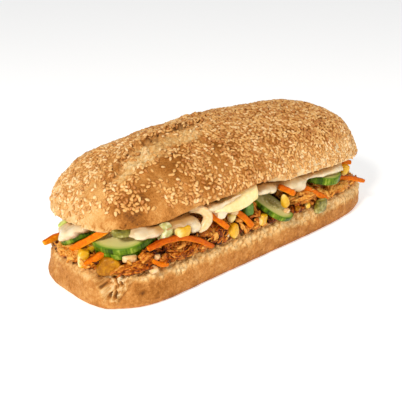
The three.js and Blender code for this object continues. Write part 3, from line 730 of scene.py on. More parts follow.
def sweep(path, rings, up=(0.0, 0.0, 1.0)):
    """A closed body: each ring of flat (side, up) points stands square to the path where it is."""
    ahead = unit(np.gradient(path, axis=0))
    over = np.array(up, float)
    stood = []
    for here, way, ring in zip(path, ahead, rings):
        over = unit(over - way * over.dot(way))
        side = np.cross(over, way)
        stood.append(here + ring[:, :1] * side + ring[:, 1:] * over)
    return closed(stood, path[0], path[-1])


def joined(parts):
    """Many (points, faces, values) as one."""
    verts, faces, values, first = [], [], {}, 0
    for v, f, extra in parts:
        verts.append(v)
        faces += [tuple(i + first for i in face) for face in f]
        for key, data in extra.items():
            values.setdefault(key, []).append(np.broadcast_to(np.asarray(data, float), len(v)))
        first += len(v)
    return np.concatenate(verts), faces, {k: np.concatenate(d) for k, d in values.items()}


# ------------------------------------------------------------------ wet, soft foods
# stops are the colours for a tone of 0 to 1; depth is how much light sinks in
LOOKS = {
    # raw carrot: dense and nearly opaque, faintly streaked along its length, brightest where cut
    "carrot": dict(
        name="raw_carrot", stops=[(0.0, "#9A3A00"), (0.35, "#C85800"), (0.7, "#E67A00"), (1.0, "#FCA828")],
        streak=(0.25, 3.0, 0), rough=0.42, depth=0.04, shine=0.12, spread=1.5, bump=0.6),
    # onion in sauce: cream turned golden, smooth and moist
    "onion": dict(
        name="cooked_onion", stops=[(0.0, "#CC9450"), (0.5, "#E8C288"), (1.0, "#F6E0B8")], rough=0.3),
    # sweetcorn: a taut glossy yellow skin, paler at the root
    "corn": dict(
        name="sweetcorn_skin", rough=0.2, bump=0.1,
        stops=[(0.0, "#ECD48C"), (0.35, "#E6BC40"), (0.7, "#DFAA18"), (1.0, "#D69808")]),
    # mild cheese: even, pale and waxy
    "cheese": dict(
        name="mild_cheese", rough=0.4, bump=0.1,
        stops=[(0.0, "#EBC068"), (0.5, "#F4D386"), (1.0, "#FBE6B2")]),
    # yellow pepper: a deep yellow skin that little light gets through
    "yellow_pepper": dict(
        name="yellow_pepper_flesh", stops=[(0.0, "#6E3E00"), (0.5, "#A66602"), (1.0, "#D0920E")],
        depth=0.04, shine=0.3, spread=1.1),
    # green pepper: dark, mottled with a paler green
    "green_pepper": dict(
        name="green_pepper_flesh", stops=[(0.0, "#284608"), (0.5, "#4E7A12"), (1.0, "#8AAC3A")], depth=0.1),
    # pickled gherkin: olive, blotched and wet
    "pickle": dict(
        name="pickled_gherkin", stops=[(0.0, "#484208"), (0.5, "#857C24"), (1.0, "#D0C888")],
        depth=0.4, spread=1.5, grain_mm=2.2, bump=0.9),
    # a thin gherkin slice: light passes it, so it is paler
    "pale_pickle": dict(
        name="thin_gherkin", stops=[(0.0, "#8A8438"), (0.5, "#C0B870"), (1.0, "#F0EAC4")],
        depth=0.5, spread=1.6, grain_mm=2.4, bump=0.8),
    # lettuce: a soft yellow-green leaf edge
    "lettuce": dict(
        name="lettuce_leaf", stops=[(0.0, "#A8B548"), (0.5, "#CFD878"), (1.0, "#E8EBA8")]),
    # pulled chicken in sauce: orange-brown meat; its darkest colour is painted shade for the hollows, its
    # palest painted light where it stands up
    "chicken": dict(
        name="sauced_chicken",
        stops=[(0.0, "#260A00"), (0.2, "#6C2A00"), (0.42, "#AE5408"), (0.68, "#D6862A"), (1.0, "#ECAE54")],
        streak=(0.3, 1.6, 0), rough=0.36, bump=1.0, depth=0.05, shine=0.22, spread=2.1, grain_mm=1.1),
}


def soft_food(name, stops, streak=None, rough=0.35, bump=0.35, depth=0.25, grain_mm=1.6, shine=0.5,
              spread=0.7):
    """Moist food that light sinks into a little: colour from the point value tone, broken by small
    mottling and, where the piece has a grain, by streaks along it."""
    made, tree = new_material(name)
    mottle = mottling(tree, place_in_mm(tree), 1 / grain_mm, 3.0)
    if streak:
        laid = add(tree, "ShaderNodeCombineXYZ", {"X": carried(tree, "along"), "Y": carried(tree, "around")})
        drawn = add(tree, "ShaderNodeVectorMath", {0: laid.outputs[0], 1: streak}, operation="MULTIPLY")
        lines = mottling(tree, drawn.outputs[0], 1.0, 3.0)
        mottle = calc(tree, "MULTIPLY", calc(tree, "ADD", mottle, lines), 0.5)
    shift = calc(tree, "MULTIPLY_ADD", mottle, spread, -spread / 2)
    colour = ramp(tree, calc(tree, "ADD", carried(tree, "tone"), shift), stops)
    surface(tree, colour, relief(tree, mottle, bump, 0.0004), Roughness=rough, IOR=1.4,
            Specular_IOR_Level=shine, Subsurface_Weight=depth, Subsurface_Radius=(0.0014, 0.0009, 0.0004),
            Subsurface_Scale=1.0)
    return made


def egg_mayonnaise():
    """Thick egg mayonnaise: cream with a clean wet shine, light sinking a millimetre or two in; painted
    shade makes it browner in its sheltered folds, on its front left fold and where it meets the lid."""
    made, tree = new_material("egg_mayonnaise")
    drift = mottling(tree, own_place(tree), 120.0, 2.0)
    # painted shade: browner where ambient occlusion finds a fold sheltered
    shelter = add(tree, "ShaderNodeAmbientOcclusion", {"Distance": 0.01}, samples=6).outputs["AO"]
    colour = mixed(tree, shelter, "#B9843F", ramp(tree, drift, [(0.3, "#DCC69A"), (0.7, "#F0E4C6")]))
    # painted shade cast by the lid, over the front left fold and where the mayonnaise meets the lid
    colour = mixed(tree, carried(tree, "oily"), colour, "#B98A4C")
    surface(tree, colour, relief(tree, drift, 0.25, 0.001), Roughness=0.22, IOR=1.46, Subsurface_Weight=0.35,
            Subsurface_Radius=(0.002, 0.0016, 0.001), Subsurface_Scale=1.0)
    return made


def fresh_cucumber():
    """Sliced cucumber: waxy dark green skin with paler ribs along it, a light green band inside the skin,
    wet pale flesh and a clearer seedy middle. The point value reach runs 0 in the middle to 1 at the rim."""
    made, tree = new_material("sliced_cucumber")
    seedy = carried(tree, "seedy")
    mottle = mottling(tree, place_in_mm(tree), 0.5, 3.0)
    flesh = ramp(tree, carried(tree, "reach"), [(0.0, "#C2BC6C"), (0.42, "#C6C072"), (0.52, "#D6CE8C"),
                                                (0.8, "#CECB7E"), (0.91, "#A8B854"), (0.96, "#5E8524")])
    laid = add(tree, "ShaderNodeCombineXYZ", {"X": carried(tree, "turn")}).outputs[0]
    green = calc(tree, "MULTIPLY", carried(tree, "rib"), mottle)
    green = calc(tree, "MULTIPLY_ADD", mottling(tree, laid, 0.8, 1.0), 0.9, green)
    rind = ramp(tree, green, [(0.3, "#1A2800"), (0.55, "#385400"), (0.8, "#627E0A"), (1.0, "#90A034")])
    colour = mixed(tree, carried(tree, "skin"), mixed(tree, seedy, flesh, "#F1EDC4"), rind)
    bump = relief(tree, calc(tree, "ADD", mottle, seedy), 0.3, 0.0005)
    surface(tree, colour, bump, Roughness=0.3, IOR=1.36, Specular_IOR_Level=0.22, Subsurface_Weight=0.15,
            Subsurface_Radius=(0.0012, 0.0014, 0.0006), Subsurface_Scale=1.0)
    return made


# ------------------------------------------------------------------ cucumber
# middle, way the face looks, radius, thickness
CUCUMBERS = {
    "left_upper": ((-86.4, -17.9, 34.2), (-0.25, -0.08, 0.96), 17, 3.6),
    "middle": ((8.7, -33.2, 26.7), (0.33, -0.34, 0.88), 14.4, 2.8),
    "right": ((54.8, -28.5, 34.4), (0.13, -0.08, 1), 16.5, SLICE),
    "left_end": ((-92, 8.5, 27.8), (-0.15, 0.48, 0.86), 16, 3.4),
    "left_lower": ((-86, -16, 29.6), (-0.24, 0.06, 0.97), 16.5, 4),
    "front_left": ((-63.5, -28, 36.4), (-0.05, -0.3, 0.95), 11, 3.6),
    "right_end": ((86, 2, 31), (0.1, 0.06, 0.99), 16, SLICE),
    "back_left": ((-62, 26, 28.4), (0.05, 0.05, 1), 16, SLICE),
    "back_right": ((34, 27, 28), (-0.06, 0.06, 1), 16, SLICE),
}


def cucumber_slice(name, at, normal, radius, thick, seed, material):
    """A round slice, a little bowed and off round, with its seeds standing out of a sunken middle."""
    steps = 150
    up = unit(normal)
    one = unit(np.cross(up, (0.3, 1, 0.1)))
    two = np.cross(up, one)
    half = thick / 2
    inner = list(np.linspace(0.06, 0.96, 22) * (radius - 0.6)) + [radius - 0.55]
    profile = [(r, -half) for r in inner]
    profile += [(radius - 0.15, -half + 0.25)]
    profile += [(radius, h) for h in np.linspace(-half + 0.7, half - 0.7, 7)]
    profile += [(radius - 0.15, half - 0.25)] + [(r, half) for r in reversed(inner)]
    a = np.linspace(0, 2 * math.pi, steps, endpoint=False)
    rib = 0.5 + 0.5 * np.cos(9 * a + seed) * np.cos(4 * a + 2 * seed)
    rings, reach, skin, ribs, seedy, turn = [], [], [], [], [], []
    for r, h in profile:
        out = r * (1 + (0.012 * rib + 0.03 * np.cos(2 * a + seed) + 0.012 * np.cos(5 * a - seed)))
        share = r / radius
        pod = np.cos(3 * a + seed) * 0.5 + 0.5
        # seeds stand in three lobes, long way outwards, in two staggered rows
        row = np.floor((share - 0.12) / 0.2)
        cell = np.mod(a * (7 + 3 * row) / math.pi + 0.5 * row, 1) - 0.5
        depth = (share - 0.12) / 0.2 - row - 0.5
        grain_here = smooth(0.42, 0.2, np.hypot(cell / 0.6, depth)) * (0.12 < share < 0.55)
        grain_here = grain_here * (0.35 + 0.65 * pod)
        lift = 0.22 * grain_here - 0.3 * smooth(0.5, 0.3, share) * (share > 0.02)
        face = np.sign(h) * lift if abs(h) > half - 0.01 else 0 * a
        bow = 0.5 * np.cos(a - seed) * share ** 2 * np.sin(2 * a + seed)
        point = np.outer(out * np.cos(a), one) + np.outer(out * np.sin(a), two)
        rings.append(point + np.outer(h + face + bow, up) + at)
        reach.append(np.full(steps, share))
        skin.append(np.full(steps, float(share > 0.972)))
        ribs.append(rib)
        seedy.append(grain_here)
        turn.append(np.minimum(a, 2 * math.pi - a) * radius)
    middle = up * (half - 0.3)
    verts, faces = closed(rings, np.array(at) - middle, np.array(at) + middle)
    lists = {"reach": reach, "skin": skin, "rib": ribs, "seedy": seedy, "turn": turn}
    piece("cucumber_slice_" + name, verts, faces, material, ["cucumber_" + name],
          {key: np.concatenate(rows + [[0.0, 0.0]]) for key, rows in lists.items()})


# ------------------------------------------------------------------ carrot and onion
# the way it lies, width, thickness
CARROTS = {
    "left_long": ([(-107.5, 1, 24.9), (-104, -9, 31.8), (-99, -19.5, 39.8)], 3.3, 3.8),
    "end_tip": ([(-111.5, 21.5, 22.4), (-102, 21, 24), (-90, 19, 24.2)], 3.2, 3.2),
    "left_low": ([(-109, -12.4, 20.6), (-106, -15.6, 24), (-101, -19.5, 28.2)], STRIP, STRIP),
    "arc": ([(-89, -39.6, 33.2), (-79.5, -41.2, 35), (-68.5, -41.6, 33.4), (-57.5, -41.6, 28.4),
             (-46.5, -41.4, 21.2)], 3.2, 3.0),
    "middle_a": ([(-53, -37.4, 43), (-44, -39.6, 36.8), (-35.4, -41.4, 28.8)], STRIP, STRIP),
    "middle_b": ([(-26.5, -37.5, 35.2), (-20.5, -39.6, 29.6), (-15, -40.4, 23.4)], STRIP, STRIP),
    "short": ([(11, -37.4, 38.8), (15.5, -39.4, 36.4), (20.6, -41, 33.2)], STRIP, STRIP),
    "right_a": ([(32, -38, 33.6), (42, -40, 27.4), (52, -41.2, 21.4)], STRIP, STRIP),
    "right_low": ([(70, -34, 28.4), (83, -37, 25.6), (95.4, -39, 21)], 3.2, 3.2),
    "right_tip": ([(70, -25, 37.2), (78, -31, 36.6), (84.6, -35, 35.6)], 3.2, 3.2),
    "right_end": ([(90, 16, 27), (100, 8, 26.4), (107.5, -3, 22.5)], STRIP, STRIP),
    "back_a": ([(-84, 35, 26.6), (-76, 39, 25.4), (-66, 41, 21.8)], STRIP, STRIP),
    "back_b": ([(-30, 36, 29), (-19, 39.6, 27.4), (-7, 41, 22.4)], STRIP, STRIP),
    "back_c": ([(58, 35, 29), (70, 38.6, 27), (82, 37.6, 22.4)], STRIP, STRIP),
}


def strip_mesh(through, wide, high, seed, corner=3.2, wander=0.22, tip=0.8):
    """A cut strip with slightly rounded corners, a wandering width and clean-cut ends."""
    steps, count = 30, 20
    path = curve(through, steps)
    start, stop = (path[1] - path[0]) * 0.12, (path[-2] - path[-1]) * 0.12
    path = np.concatenate([[path[0] - 2 * start, path[0] - start], path,
                           [path[-1] - stop, path[-1] - 2 * stop]])
    a = np.linspace(0, 2 * math.pi, count, endpoint=False)
    flat = np.stack([signed_power(np.cos(a), 2 / corner) * wide / 2,
                     signed_power(np.sin(a), 2 / corner) * high / 2], -1)
    u = np.linspace(0, 1, steps)
    body = tip + (1 - tip) * np.minimum(1, np.minimum(u, 1 - u) / 0.16) ** 0.6
    scale = np.concatenate([[0.45 * tip, 0.9 * tip], body, [0.9 * tip, 0.45 * tip]])
    gentle = np.linspace(0, 1, len(path))
    drift = 1 + 0.12 * grain(np.stack([gentle, gentle * 0, gentle * 0], -1) * 10, 4, 2, seed)
    rings = [flat * s * d for s, d in zip(scale, drift)]
    verts, faces = sweep(path, rings)
    normal = normals_of(verts, faces)
    verts = verts - normal * (wander * grain(verts, 2.4, 3, seed))[:, None]
    along = np.concatenate([np.repeat(np.linspace(0, 1, len(path)) * len(path), count), [0, len(path)]])
    around = np.concatenate([np.tile(np.minimum(a, 2 * math.pi - a), len(path)), [0, 0]])
    corner_share = np.tile(np.abs(np.sin(2 * a)) ** 2, len(path))
    # painted highlight: the corners a little paler; the cut ends are paler still, as a cut face is
    tone = np.concatenate([0.5 + 0.2 * corner_share, [0.7, 0.7]])
    end = np.concatenate([np.repeat(scale < 0.9 * tip + 0.01, count), [True, True]])
    return verts, faces, {"along": along, "around": around * 3, "tone": tone + 0.2 * end}


# how much brighter or duller than the rest some strips are
BRIGHT_STRIPS = {"end_tip": 0.34, "left_long": 0.14, "arc": -0.14, "left_low": 0.1, "right_tip": 0.1}
ONION_CURL = [(-58, -35, 44.4), (-52.5, -39.4, 43.4), (-49.5, -40.8, 39.4), (-51.5, -40.8, 35),
              (-55.5, -39.5, 32.6)]
CARROT_SCRAP = [(-85.0, -38.0, 24.6), (-81.4, -39.2, 22), (-77, -40, 20.8)]


# ------------------------------------------------------------------ sweetcorn
# middle, size, turn, lean, roll
KERNELS = {
    "left_b": ((-106.6, -8.0, 22.5), (8.2, 7.2, 9.8), 60, 12, 8),
    "left_a": ((-100, -6.8, 26.6), (7.4, 6.4, 7.6), 40, 14, 0),
    "left_c": ((-67.9, -41, 36.2), (11.4, 6, 6.6), 0, 0, 0),
    "middle_a": ((-29, -40, 23.9), (8, 5.6, 9.6), 0, 0, -20),
    "middle_b": ((-29.6, -38.6, 31.8), (6.4, 5, 5.6), 0, 0, 0),
    "middle_c": ((-5.2, -39.4, 23.6), (7.4, 6, 7), 15, 0, 12),
    "middle_d": ((13, -40.6, 30.4), (6, 5, 9.4), 0, 180, -22),
    "right_a": ((35.5, -39.4, 20.9), (5.4, 4.6, 3.6), 0, 0, 80),
    "right_b": ((75.5, -37, 33.2), (7.2, 5.6, 7.6), -20, 0, 10),
    "right_c": ((104, 14, 23.6), (7.2, 5.2, 9), 80, 10, 0),
    "right_d": ((104.5, -15, 23.2), (7.2, 5.2, 9), 100, -8, 0),
    "back_a": ((-92, 27, 22.6), (7, 6, 7.2), 30, 0, 0),
    "back_b": ((-44, 38.8, 23.6), (7.2, 5.2, 9), 0, 0, 18),
    "back_c": ((10, 39, 23.4), (7.2, 5.2, 9), 0, 0, -14),
    "back_d": ((52, 39.2, 23), (7.2, 5.2, 9), 0, 0, 30),
}
# the ones cut through, and the one that is pale all over
CUT_KERNELS = ("left_b", "left_c", "middle_c")
PALE_KERNEL = "middle_b"


def kernel(name, at, size, turn, lean, roll, seed, material):
    """A plump sweetcorn kernel: a dented crown, flat cheeks and a pale narrower root end; the cut ones
    are squarer, with one pale cheek."""
    verts, faces = ball(28, 20)
    cut = name in CUT_KERNELS
    square = 0.4 if cut else 0.72
    z = signed_power(verts[:, 2], 0.62 if cut else 0.8)
    taper = 0.82 + (0.1 if cut else 0.24) * z - 0.1 * z * z
    x, y = signed_power(verts[:, 0], square), signed_power(verts[:, 1], square)
    flat = np.stack([x * taper, y * taper, z], -1)
    dent = 0.1 * bell(np.hypot(flat[:, 0], flat[:, 1]), 0, 0.45) * (z > 0.5)
    flat[:, 2] -= dent
    half = np.array(size) / 2
    body = flat * half
    body += 0.18 * grain(body, 3.0, 2, seed)[:, None] * unit(body)
    out = body @ turning(turn, lean, roll).T + at
    mottle = 0.12 * grain(body, 3.5, 2, seed + 1)
    crown = 0.6 + 0.42 * flat[:, 2] + mottle - 0.7 * (name == PALE_KERNEL)
    if cut:
        crown = 0.75 - 0.75 * smooth(-0.45, -0.8, unit(out - at)[:, 0]) + mottle
    piece("sweetcorn_" + name, out, faces, material, ["corn_" + name], {"tone": crown})


# ------------------------------------------------------------------ the cheese slice
def cheese(material):
    """One thick soft slice laid over the filling, its front edge drooping out under the lid."""
    columns, along = 72, 44
    rings = []
    for u in np.linspace(0, 1, columns):
        x = -46 + 32.4 * u
        top = float(np.interp(x, (-46, -43, -14), (42.2, 43.0, 48.2)))
        hang = float(np.interp(x, (-46, -43, -36, -27.5, -20, -14), (1.2, 2.6, 6.2, 8.9, 8.8, 8.2)))
        inner = float(under_lid(x, -30)) - 3.4
        path = [(x, -22, inner), (x, -32, inner + 0.4), (x, -39.4, top - 0.6), (x, -42.4, top - 0.35 * hang),
                (x, -43.4, top - hang)]
        line = curve(path, along)
        ahead = unit(np.gradient(line, axis=0))
        over = np.cross((1.0, 0, 0), ahead)
        over = over * np.sign(over[:, 2:3] + 1e-9)
        thick = 1.25 * np.minimum(1, np.sqrt(np.maximum(0.0, 1 - np.linspace(0, 1, along) ** 18)) + 0.05)
        thick = thick * (1 if 0.02 < u < 0.98 else 0.45)
        rings.append(np.concatenate([line + over * thick[:, None], (line - over * thick[:, None])[::-1]]))
    verts, faces = closed(rings)
    if np.sum(normals_of(verts, faces)[:, 2] * (verts[:, 2] - verts[:, 2].mean())) < 0:
        faces = [tuple(reversed(f)) for f in faces]
    normal = normals_of(verts, faces)
    verts = verts + normal * (0.3 * grain(verts, 7, 2, 31))[:, None]
    tone = 0.5 + 0.2 * grain(verts, 8, 2, 32) + 0.25 * smooth(-41, -44, verts[:, 1])
    piece("melting_cheese", verts, faces, material, ["cheese_slice"], {"tone": tone})


# ------------------------------------------------------------------ pickles, peppers, leaf and small bits
# middle, half size, turn, lean, kind
LUMPS = {
    "yellow_pepper_left": ((-101, -23.4, 22.2), (8.4, 4.6, 4.8), -42, 0, "yellow_pepper"),
    "yellow_pepper_back": ((88, 27.6, 23.4), (7, 4.4, 4), 30, 0, "yellow_pepper"),
    "green_pepper_middle": ((-15.4, -37, 32.2), (4, 3, 4.2), 0, 0, "green_pepper"),
    "green_pepper_back": ((-13, 35, 30.4), (5, 4, 2.6), 10, 0, "green_pepper"),
    "pickle_left": ((-95, -26.5, 40.2), (5.4, 4.4, 2.3), -35, 0, "pickle"),
    "pickle_hanging": ((45.8, -42.4, 18.4), (5.0, 1.9, 5.0), 0, 6, "pickle"),
    "pickle_front": ((-77.4, -38.8, 38.4), (3.8, 3, 5), 0, 10, "pale_pickle"),
    "lettuce_left": ((-103.1, 14, 34), (2.6, 3.0, 1.3), 40, -34, "lettuce"),
}
# how much narrower some of them are at the top
TAPERS = {"yellow_pepper_left": 0.5}
# bits with no solid of their own: kind, middle, half size, turn, lean
SMALL_BITS = [
    ("green_pepper", (-96.6, -21, 24.4), (4.2, 2.6, 2.2), -40, 10),
    ("onion", (-93.4, -29.6, 26.2), (4.0, 2.6, 2.2), -30, 10),
    ("onion", (-81.2, -36.8, 25.2), (1.8, 1.5, 1.8), 20, 0),
    ("onion", (-85.2, -38.6, 19.9), (2.5, 1.9, 1.7), 0, 0),
    ("onion", (-27.7, -38.2, 34.6), (3.4, 2.0, 1.9), 0, 0),
    ("onion", (13.8, -41.6, 24.0), (2.2, 1.6, 1.4), 0, 20),
    ("yellow_pepper", (23.4, -42.4, 23.0), (2.4, 1.4, 1.2), 20, 0),
    ("onion", (-33, -38.4, 22.6), (2.4, 1.5, 1.5), 60, 0),
]


def cut_bit(name, at, half, turn, lean, seed, material, nodes=(), taper=0.0):
    """A roughly cut piece: flat-sided but soft at its corners, narrower upwards by its taper."""
    verts, faces = ball(30, 20)
    boxy = signed_power(verts, 0.62)
    boxy[:, :2] *= 1 - taper * (boxy[:, 2:] + 1) / 2
    boxy += 0.16 * grain(verts, 1.1, 3, seed)[:, None] * unit(verts)
    out = (boxy * np.array(half) * 0.97) @ turning(turn, lean).T + at
    tone = 0.45 + 0.4 * grain(verts, 1.1, 2, seed + 1) + 0.2 * np.abs(verts).max(-1) - 0.15
    piece(name, out, faces, material, nodes, {"tone": tone})


# ------------------------------------------------------------------ pulled chicken
HEAP = dict(long=216, wide=79.2, corner=4.2, foot=19)


def wave(x, y, p):
    """Slow unevenness from about -1 to 1."""
    return 0.5 * np.sin(0.21 * x + p) + 0.5 * np.sin(0.47 * x + 0.31 * y + 1.7 * p)


def heap_top(x, y):
    """The heap stands low at the roll's edge, rises inside and stays under the slices that lie on it."""
    edge = 24.6 + 3.8 * smooth(38, -38, y) - 5.4 * smooth(84, 104, x) + 1.1 * wave(x, y, 0.4)
    edge = edge - 3.4 * smooth(-90, -102, x) * smooth(-6, 12, y)
    inside = smooth(39.5, 25, np.abs(y)) * smooth(-108, -92, x) * smooth(103, 82, x)
    top = edge + (under_lid(x, y) - 6 - edge) * inside
    for name in ("middle", "left_upper", "left_end", "right"):
        at, normal, radius, thick = CUCUMBERS[name]
        one, two, up = unit(normal)
        face = at[2] - ((x - at[0]) * one + (y - at[1]) * two) / up
        away = np.hypot(x - at[0], y - at[1])
        top = np.minimum(top, face + thick / 2 - 1 + 14 * smooth(radius, radius + 9, away))
    back_corner = smooth(-86, -100, x) * smooth(4, 16, y)
    return top + (np.minimum(top, 19.9) - top) * back_corner


def heap_mesh(inset, steps, wall, inward):
    """The heap's skin, drawn in by `inset` from its full size, with `wall` rings up its side and `inward`
    over its edge."""
    long, wide, corner, foot = HEAP["long"], HEAP["wide"], HEAP["corner"], HEAP["foot"]
    a = outline(long - 2 * inset, wide - 2 * inset, corner, steps)
    rings = [np.concatenate([a * k, np.full((steps, 1), float(foot))], 1) for k in (0.5, 0.8, 0.95)]
    for share in np.linspace(0.02, 1, wall):
        z = foot + (heap_top(a[:, 0], a[:, 1]) - inset - foot) * share
        rings.append(np.concatenate([a * (1 - 0.014 * share ** 3), z[:, None]], 1))
    for k in np.concatenate([np.linspace(0.975, 0.8, inward), [0.74, 0.66, 0.5, 0.3]]):
        x = a[:, 0] * (1 - (1 - k) * 0.5)
        y = a[:, 1] * k
        rings.append(np.stack([x, y, heap_top(x, y) - inset], -1))
    return closed(rings, first=(0, 0, foot))


def others_tree():
    """Everything but bread, chicken and mayonnaise, to keep the strands clear of it."""
    points, faces = [], []
    for name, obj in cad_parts.items():
        if name in ("bread_heel", "bread_lid", "pulled_chicken", "mayonnaise"):
            continue
        world = obj.matrix_world
        first = len(points)
        points += [tuple(np.array(world @ v.co) / MM - MIDDLE) for v in obj.data.vertices]
        faces += [tuple(i + first for i in p.vertices) for p in obj.data.polygons]
    return BVHTree.FromPolygons(points, faces)


# in at the open front left corner and down
OPEN_WAY = unit((0.66, 0.64, -0.39))
# places tried for a bunch of strands and for a crumb
STRAND_SPOTS = 860
CRUMB_SPOTS = 600
# big torn clumps, then rounded nuggets at the left end: middle, the way the fibres run, half size, tone
CLUMPS = [
    ((-91.8, -33.4, 21.6), (14, -5.5, 1.6), (9.0, 3.2, 2.6), 0.36),
    ((-98, -29.5, 20.8), (8, -5, 1), (4.6, 2.4, 1.6), 0.42),
    ((31, -37.6, 26.8), (13.7, -5, 2), (9.0, 4.0, 3.6), 0.72),
    ((39, -38.6, 25.6), (9, 2, -5), (6, 2.8, 2.6), 0.66),
    ((67, -37.6, 23.2), (10, -3, 2), (8.0, 3.4, 3.2), 0.74),
    ((62, -37, 25), (6, 4, 4), (5.6, 2.8, 2.4), 0.62), ((77, -35.4, 22.8), (8, 2, -1), (7, 3, 2.6), 0.68),
    ((88, -33, 21.8), (8, 3, 1), (6.4, 2.8, 2.2), 0.68), ((98, -22, 21), (4, 8, 0), (6.0, 2.4, 1.8), 0.72),
    ((104, -8, 20.8), (1, 8, 0), (6.0, 2.2, 1.8), 0.7),
    ((27.5, -39.2, 20.6), (9, 1, 0), (6.6, 2.2, 1.5), 0.16),
    ((21, -38.8, 21.4), (3, 1, 1), (3, 2, 1.6), 0.2),
    ((-39.8, -36.4, 26.4), (1, 0.2, 0.1), (6.8, 3.4, 4), 0.36),
    ((-44, -37.4, 24), (1, 0.1, -0.6), (4.2, 2.6, 2.6), 0.24),
    ((-70, -38.6, 23), (3, 0, -1), (6, 2.4, 2.4), 0.36), ((-60, -38.8, 23), (2, 0, 1), (5, 2.4, 2.4), 0.38),
    ((-52, -38.6, 22), (2, 0, -1), (5, 2.2, 2.2), 0.4),
    ((-77, -37.8, 22.6), (2, 0, 1), (4.6, 2.0, 2.0), 0.4),
    ((-108.4, -1.5, 22.2), (1, 6, 0.5), (4.6, 2.4, 2.4), 0.66),
    ((-107.8, 6, 22), (0.5, -5, 0.2), (4.6, 2.4, 2.3), 0.62),
    ((-106.4, -13.4, 21.2), (-3, 3, 0.4), (3.6, 2.2, 1.8), 0.6),
    ((-106, 12.4, 21), (1, 4, 0), (3.6, 2, 1.7), 0.64),
    ((-28, -38.4, 21.4), (4, 0, 1), (4.4, 2, 1.8), 0.42),
    ((-12, -38.6, 21.6), (4, 0.2, -0.6), (5, 2, 1.8), 0.5),
]
NUGGETS = [
    ((-108.3, 10.4, 21.9), (1, 2, 0.3), (2.5, 2.0, 1.7), 0.74),
    ((-108.5, 5.8, 22.3), (0.4, -2, 0.4), (2.7, 2.0, 1.8), 0.62),
    ((-108.3, 1.0, 22.4), (0.3, 3, 0), (2.6, 1.9, 1.8), 0.78),
    ((-108.4, -5.2, 22.0), (0.5, 2, 0), (2.8, 1.9, 1.7), 0.68),
    ((-107.8, -10.6, 21.6), (0.6, -2, 0), (2.7, 1.9, 1.6), 0.76),
    ((-105.4, 7.6, 24.0), (1, 1, 0), (2.8, 2.2, 1.9), 0.8),
    ((-105.6, 2.6, 24.4), (1, -2, 0.2), (2.6, 2.2, 2.0), 0.66),
    ((-105.8, -2.6, 24.2), (1, 2, 0), (2.7, 2.1, 1.9), 0.76),
    ((-105.8, -8.0, 23.4), (2, 1, 0), (2.5, 2.0, 1.8), 0.7),
    ((-105.6, 13.6, 22.2), (2, 1, 0), (2.4, 1.8, 1.6), 0.7),
    ((-102.6, 5.6, 25.6), (1, 1, 0.4), (2.6, 2.2, 2.0), 0.72),
    ((-102.8, -5.6, 25.0), (1, -1, 0), (2.5, 2.0, 1.8), 0.66),
]


def crumb(at, along, half, seed, tone, fine=(12, 8)):
    """A torn crumb of meat: its fibres run along it, so its roughness is drawn out that way."""
    verts, faces = ball(*fine)
    ahead = unit(along)
    side = unit(np.cross((0, 0, 1), ahead))
    body = verts * np.array(half)
    local = body * [0.3, 1, 1]
    swell = 0.6 * min(half[1:]) * grain(local, 0.9, 3, seed)
    swell = swell + 0.4 * min(half) * grain(body, 2.2, 2, seed + 1)
    body = body + swell[:, None] * unit(body)
    place = np.outer(body[:, 0], ahead) + np.outer(body[:, 1], side)
    place = place + np.outer(body[:, 2], np.cross(ahead, side))
    # painted shade: bulges and the top paler, hollows and the underside darker
    shade = 0.45 * swell / min(half) + 0.2 * verts[:, 2]
    return place + at, faces, {"tone": tone + shade, "along": body[:, 0],
                               "around": 3 * np.arctan2(np.abs(verts[:, 2]), verts[:, 1]) + seed}


def fibre(path, radius, up, rng, tone, around=5):
    """One fibre: it swells and thins along its way and runs out at both ends."""
    count = len(path)
    angle = np.linspace(0, 2 * math.pi, around, endpoint=False)
    fat = radius * (0.3 + 0.7 * np.sin(math.pi * np.linspace(0.04, 0.96, count)) ** 0.6)
    fat = fat * rng.uniform(0.75, 1.25, count)
    ring = [np.stack([1.25 * f * np.cos(angle), 0.85 * f * np.sin(angle)], -1) for f in fat]
    v, f = sweep(path, ring, up)
    way = np.concatenate([[0], np.cumsum(np.linalg.norm(np.diff(path, axis=0), axis=1))])
    # painted shade: the upper side of a fibre paler, its underside darker
    shade = tone + np.concatenate([np.tile(0.16 * np.sin(angle), count), [0, 0]])
    return v, f, {"tone": shade, "along": np.concatenate([np.repeat(way, around), way[:1], way[-1:]]),
                  "around": np.concatenate([np.tile(angle, count), [0, 0]]) + rng.uniform(0, 9)}


def clump(at, along, half, tone, seed, rng):
    """A torn clump: fibres side by side along it with their ends loose, over a smaller body."""
    parts = [crumb(at, along, np.array(half) * [0.95, 0.95, 0.92], seed, tone - 0.04, (30, 20))]
    ahead = unit(along)
    side = unit(np.cross((0, 0, 1), ahead))
    over = np.cross(ahead, side)
    bow = rng.normal(0, 0.12) * half[0]
    u = np.linspace(-1, 1, 9)
    for _ in range(int(8 + 1.6 * half[1] * half[2])):
        about = rng.uniform(-0.25, 1.25) * math.pi
        long = half[0] * rng.uniform(0.35, 0.8)
        t = u * long + rng.normal(0, 0.3) * half[0]
        narrow = np.sqrt(np.clip(1 - 0.75 * (t / half[0]) ** 2, 0.1, 1)) * rng.uniform(0.8, 1.12)
        wander = rng.normal(0, 0.16, (9, 3)) + np.outer(u, rng.normal(0, 0.5, 3))
        wander = wander + np.outer(u * u, rng.normal(0, 0.6, 3))
        line = at + np.outer(t, ahead) + np.outer(half[1] * math.cos(about) * narrow, side) + wander
        line = line + np.outer(half[2] * math.sin(about) * narrow + bow * (t / half[0]) ** 2, over)
        parts.append(fibre(line, rng.uniform(0.5, 1.0), over, rng, tone + rng.normal(0.04, 0.14), 6))
    return parts


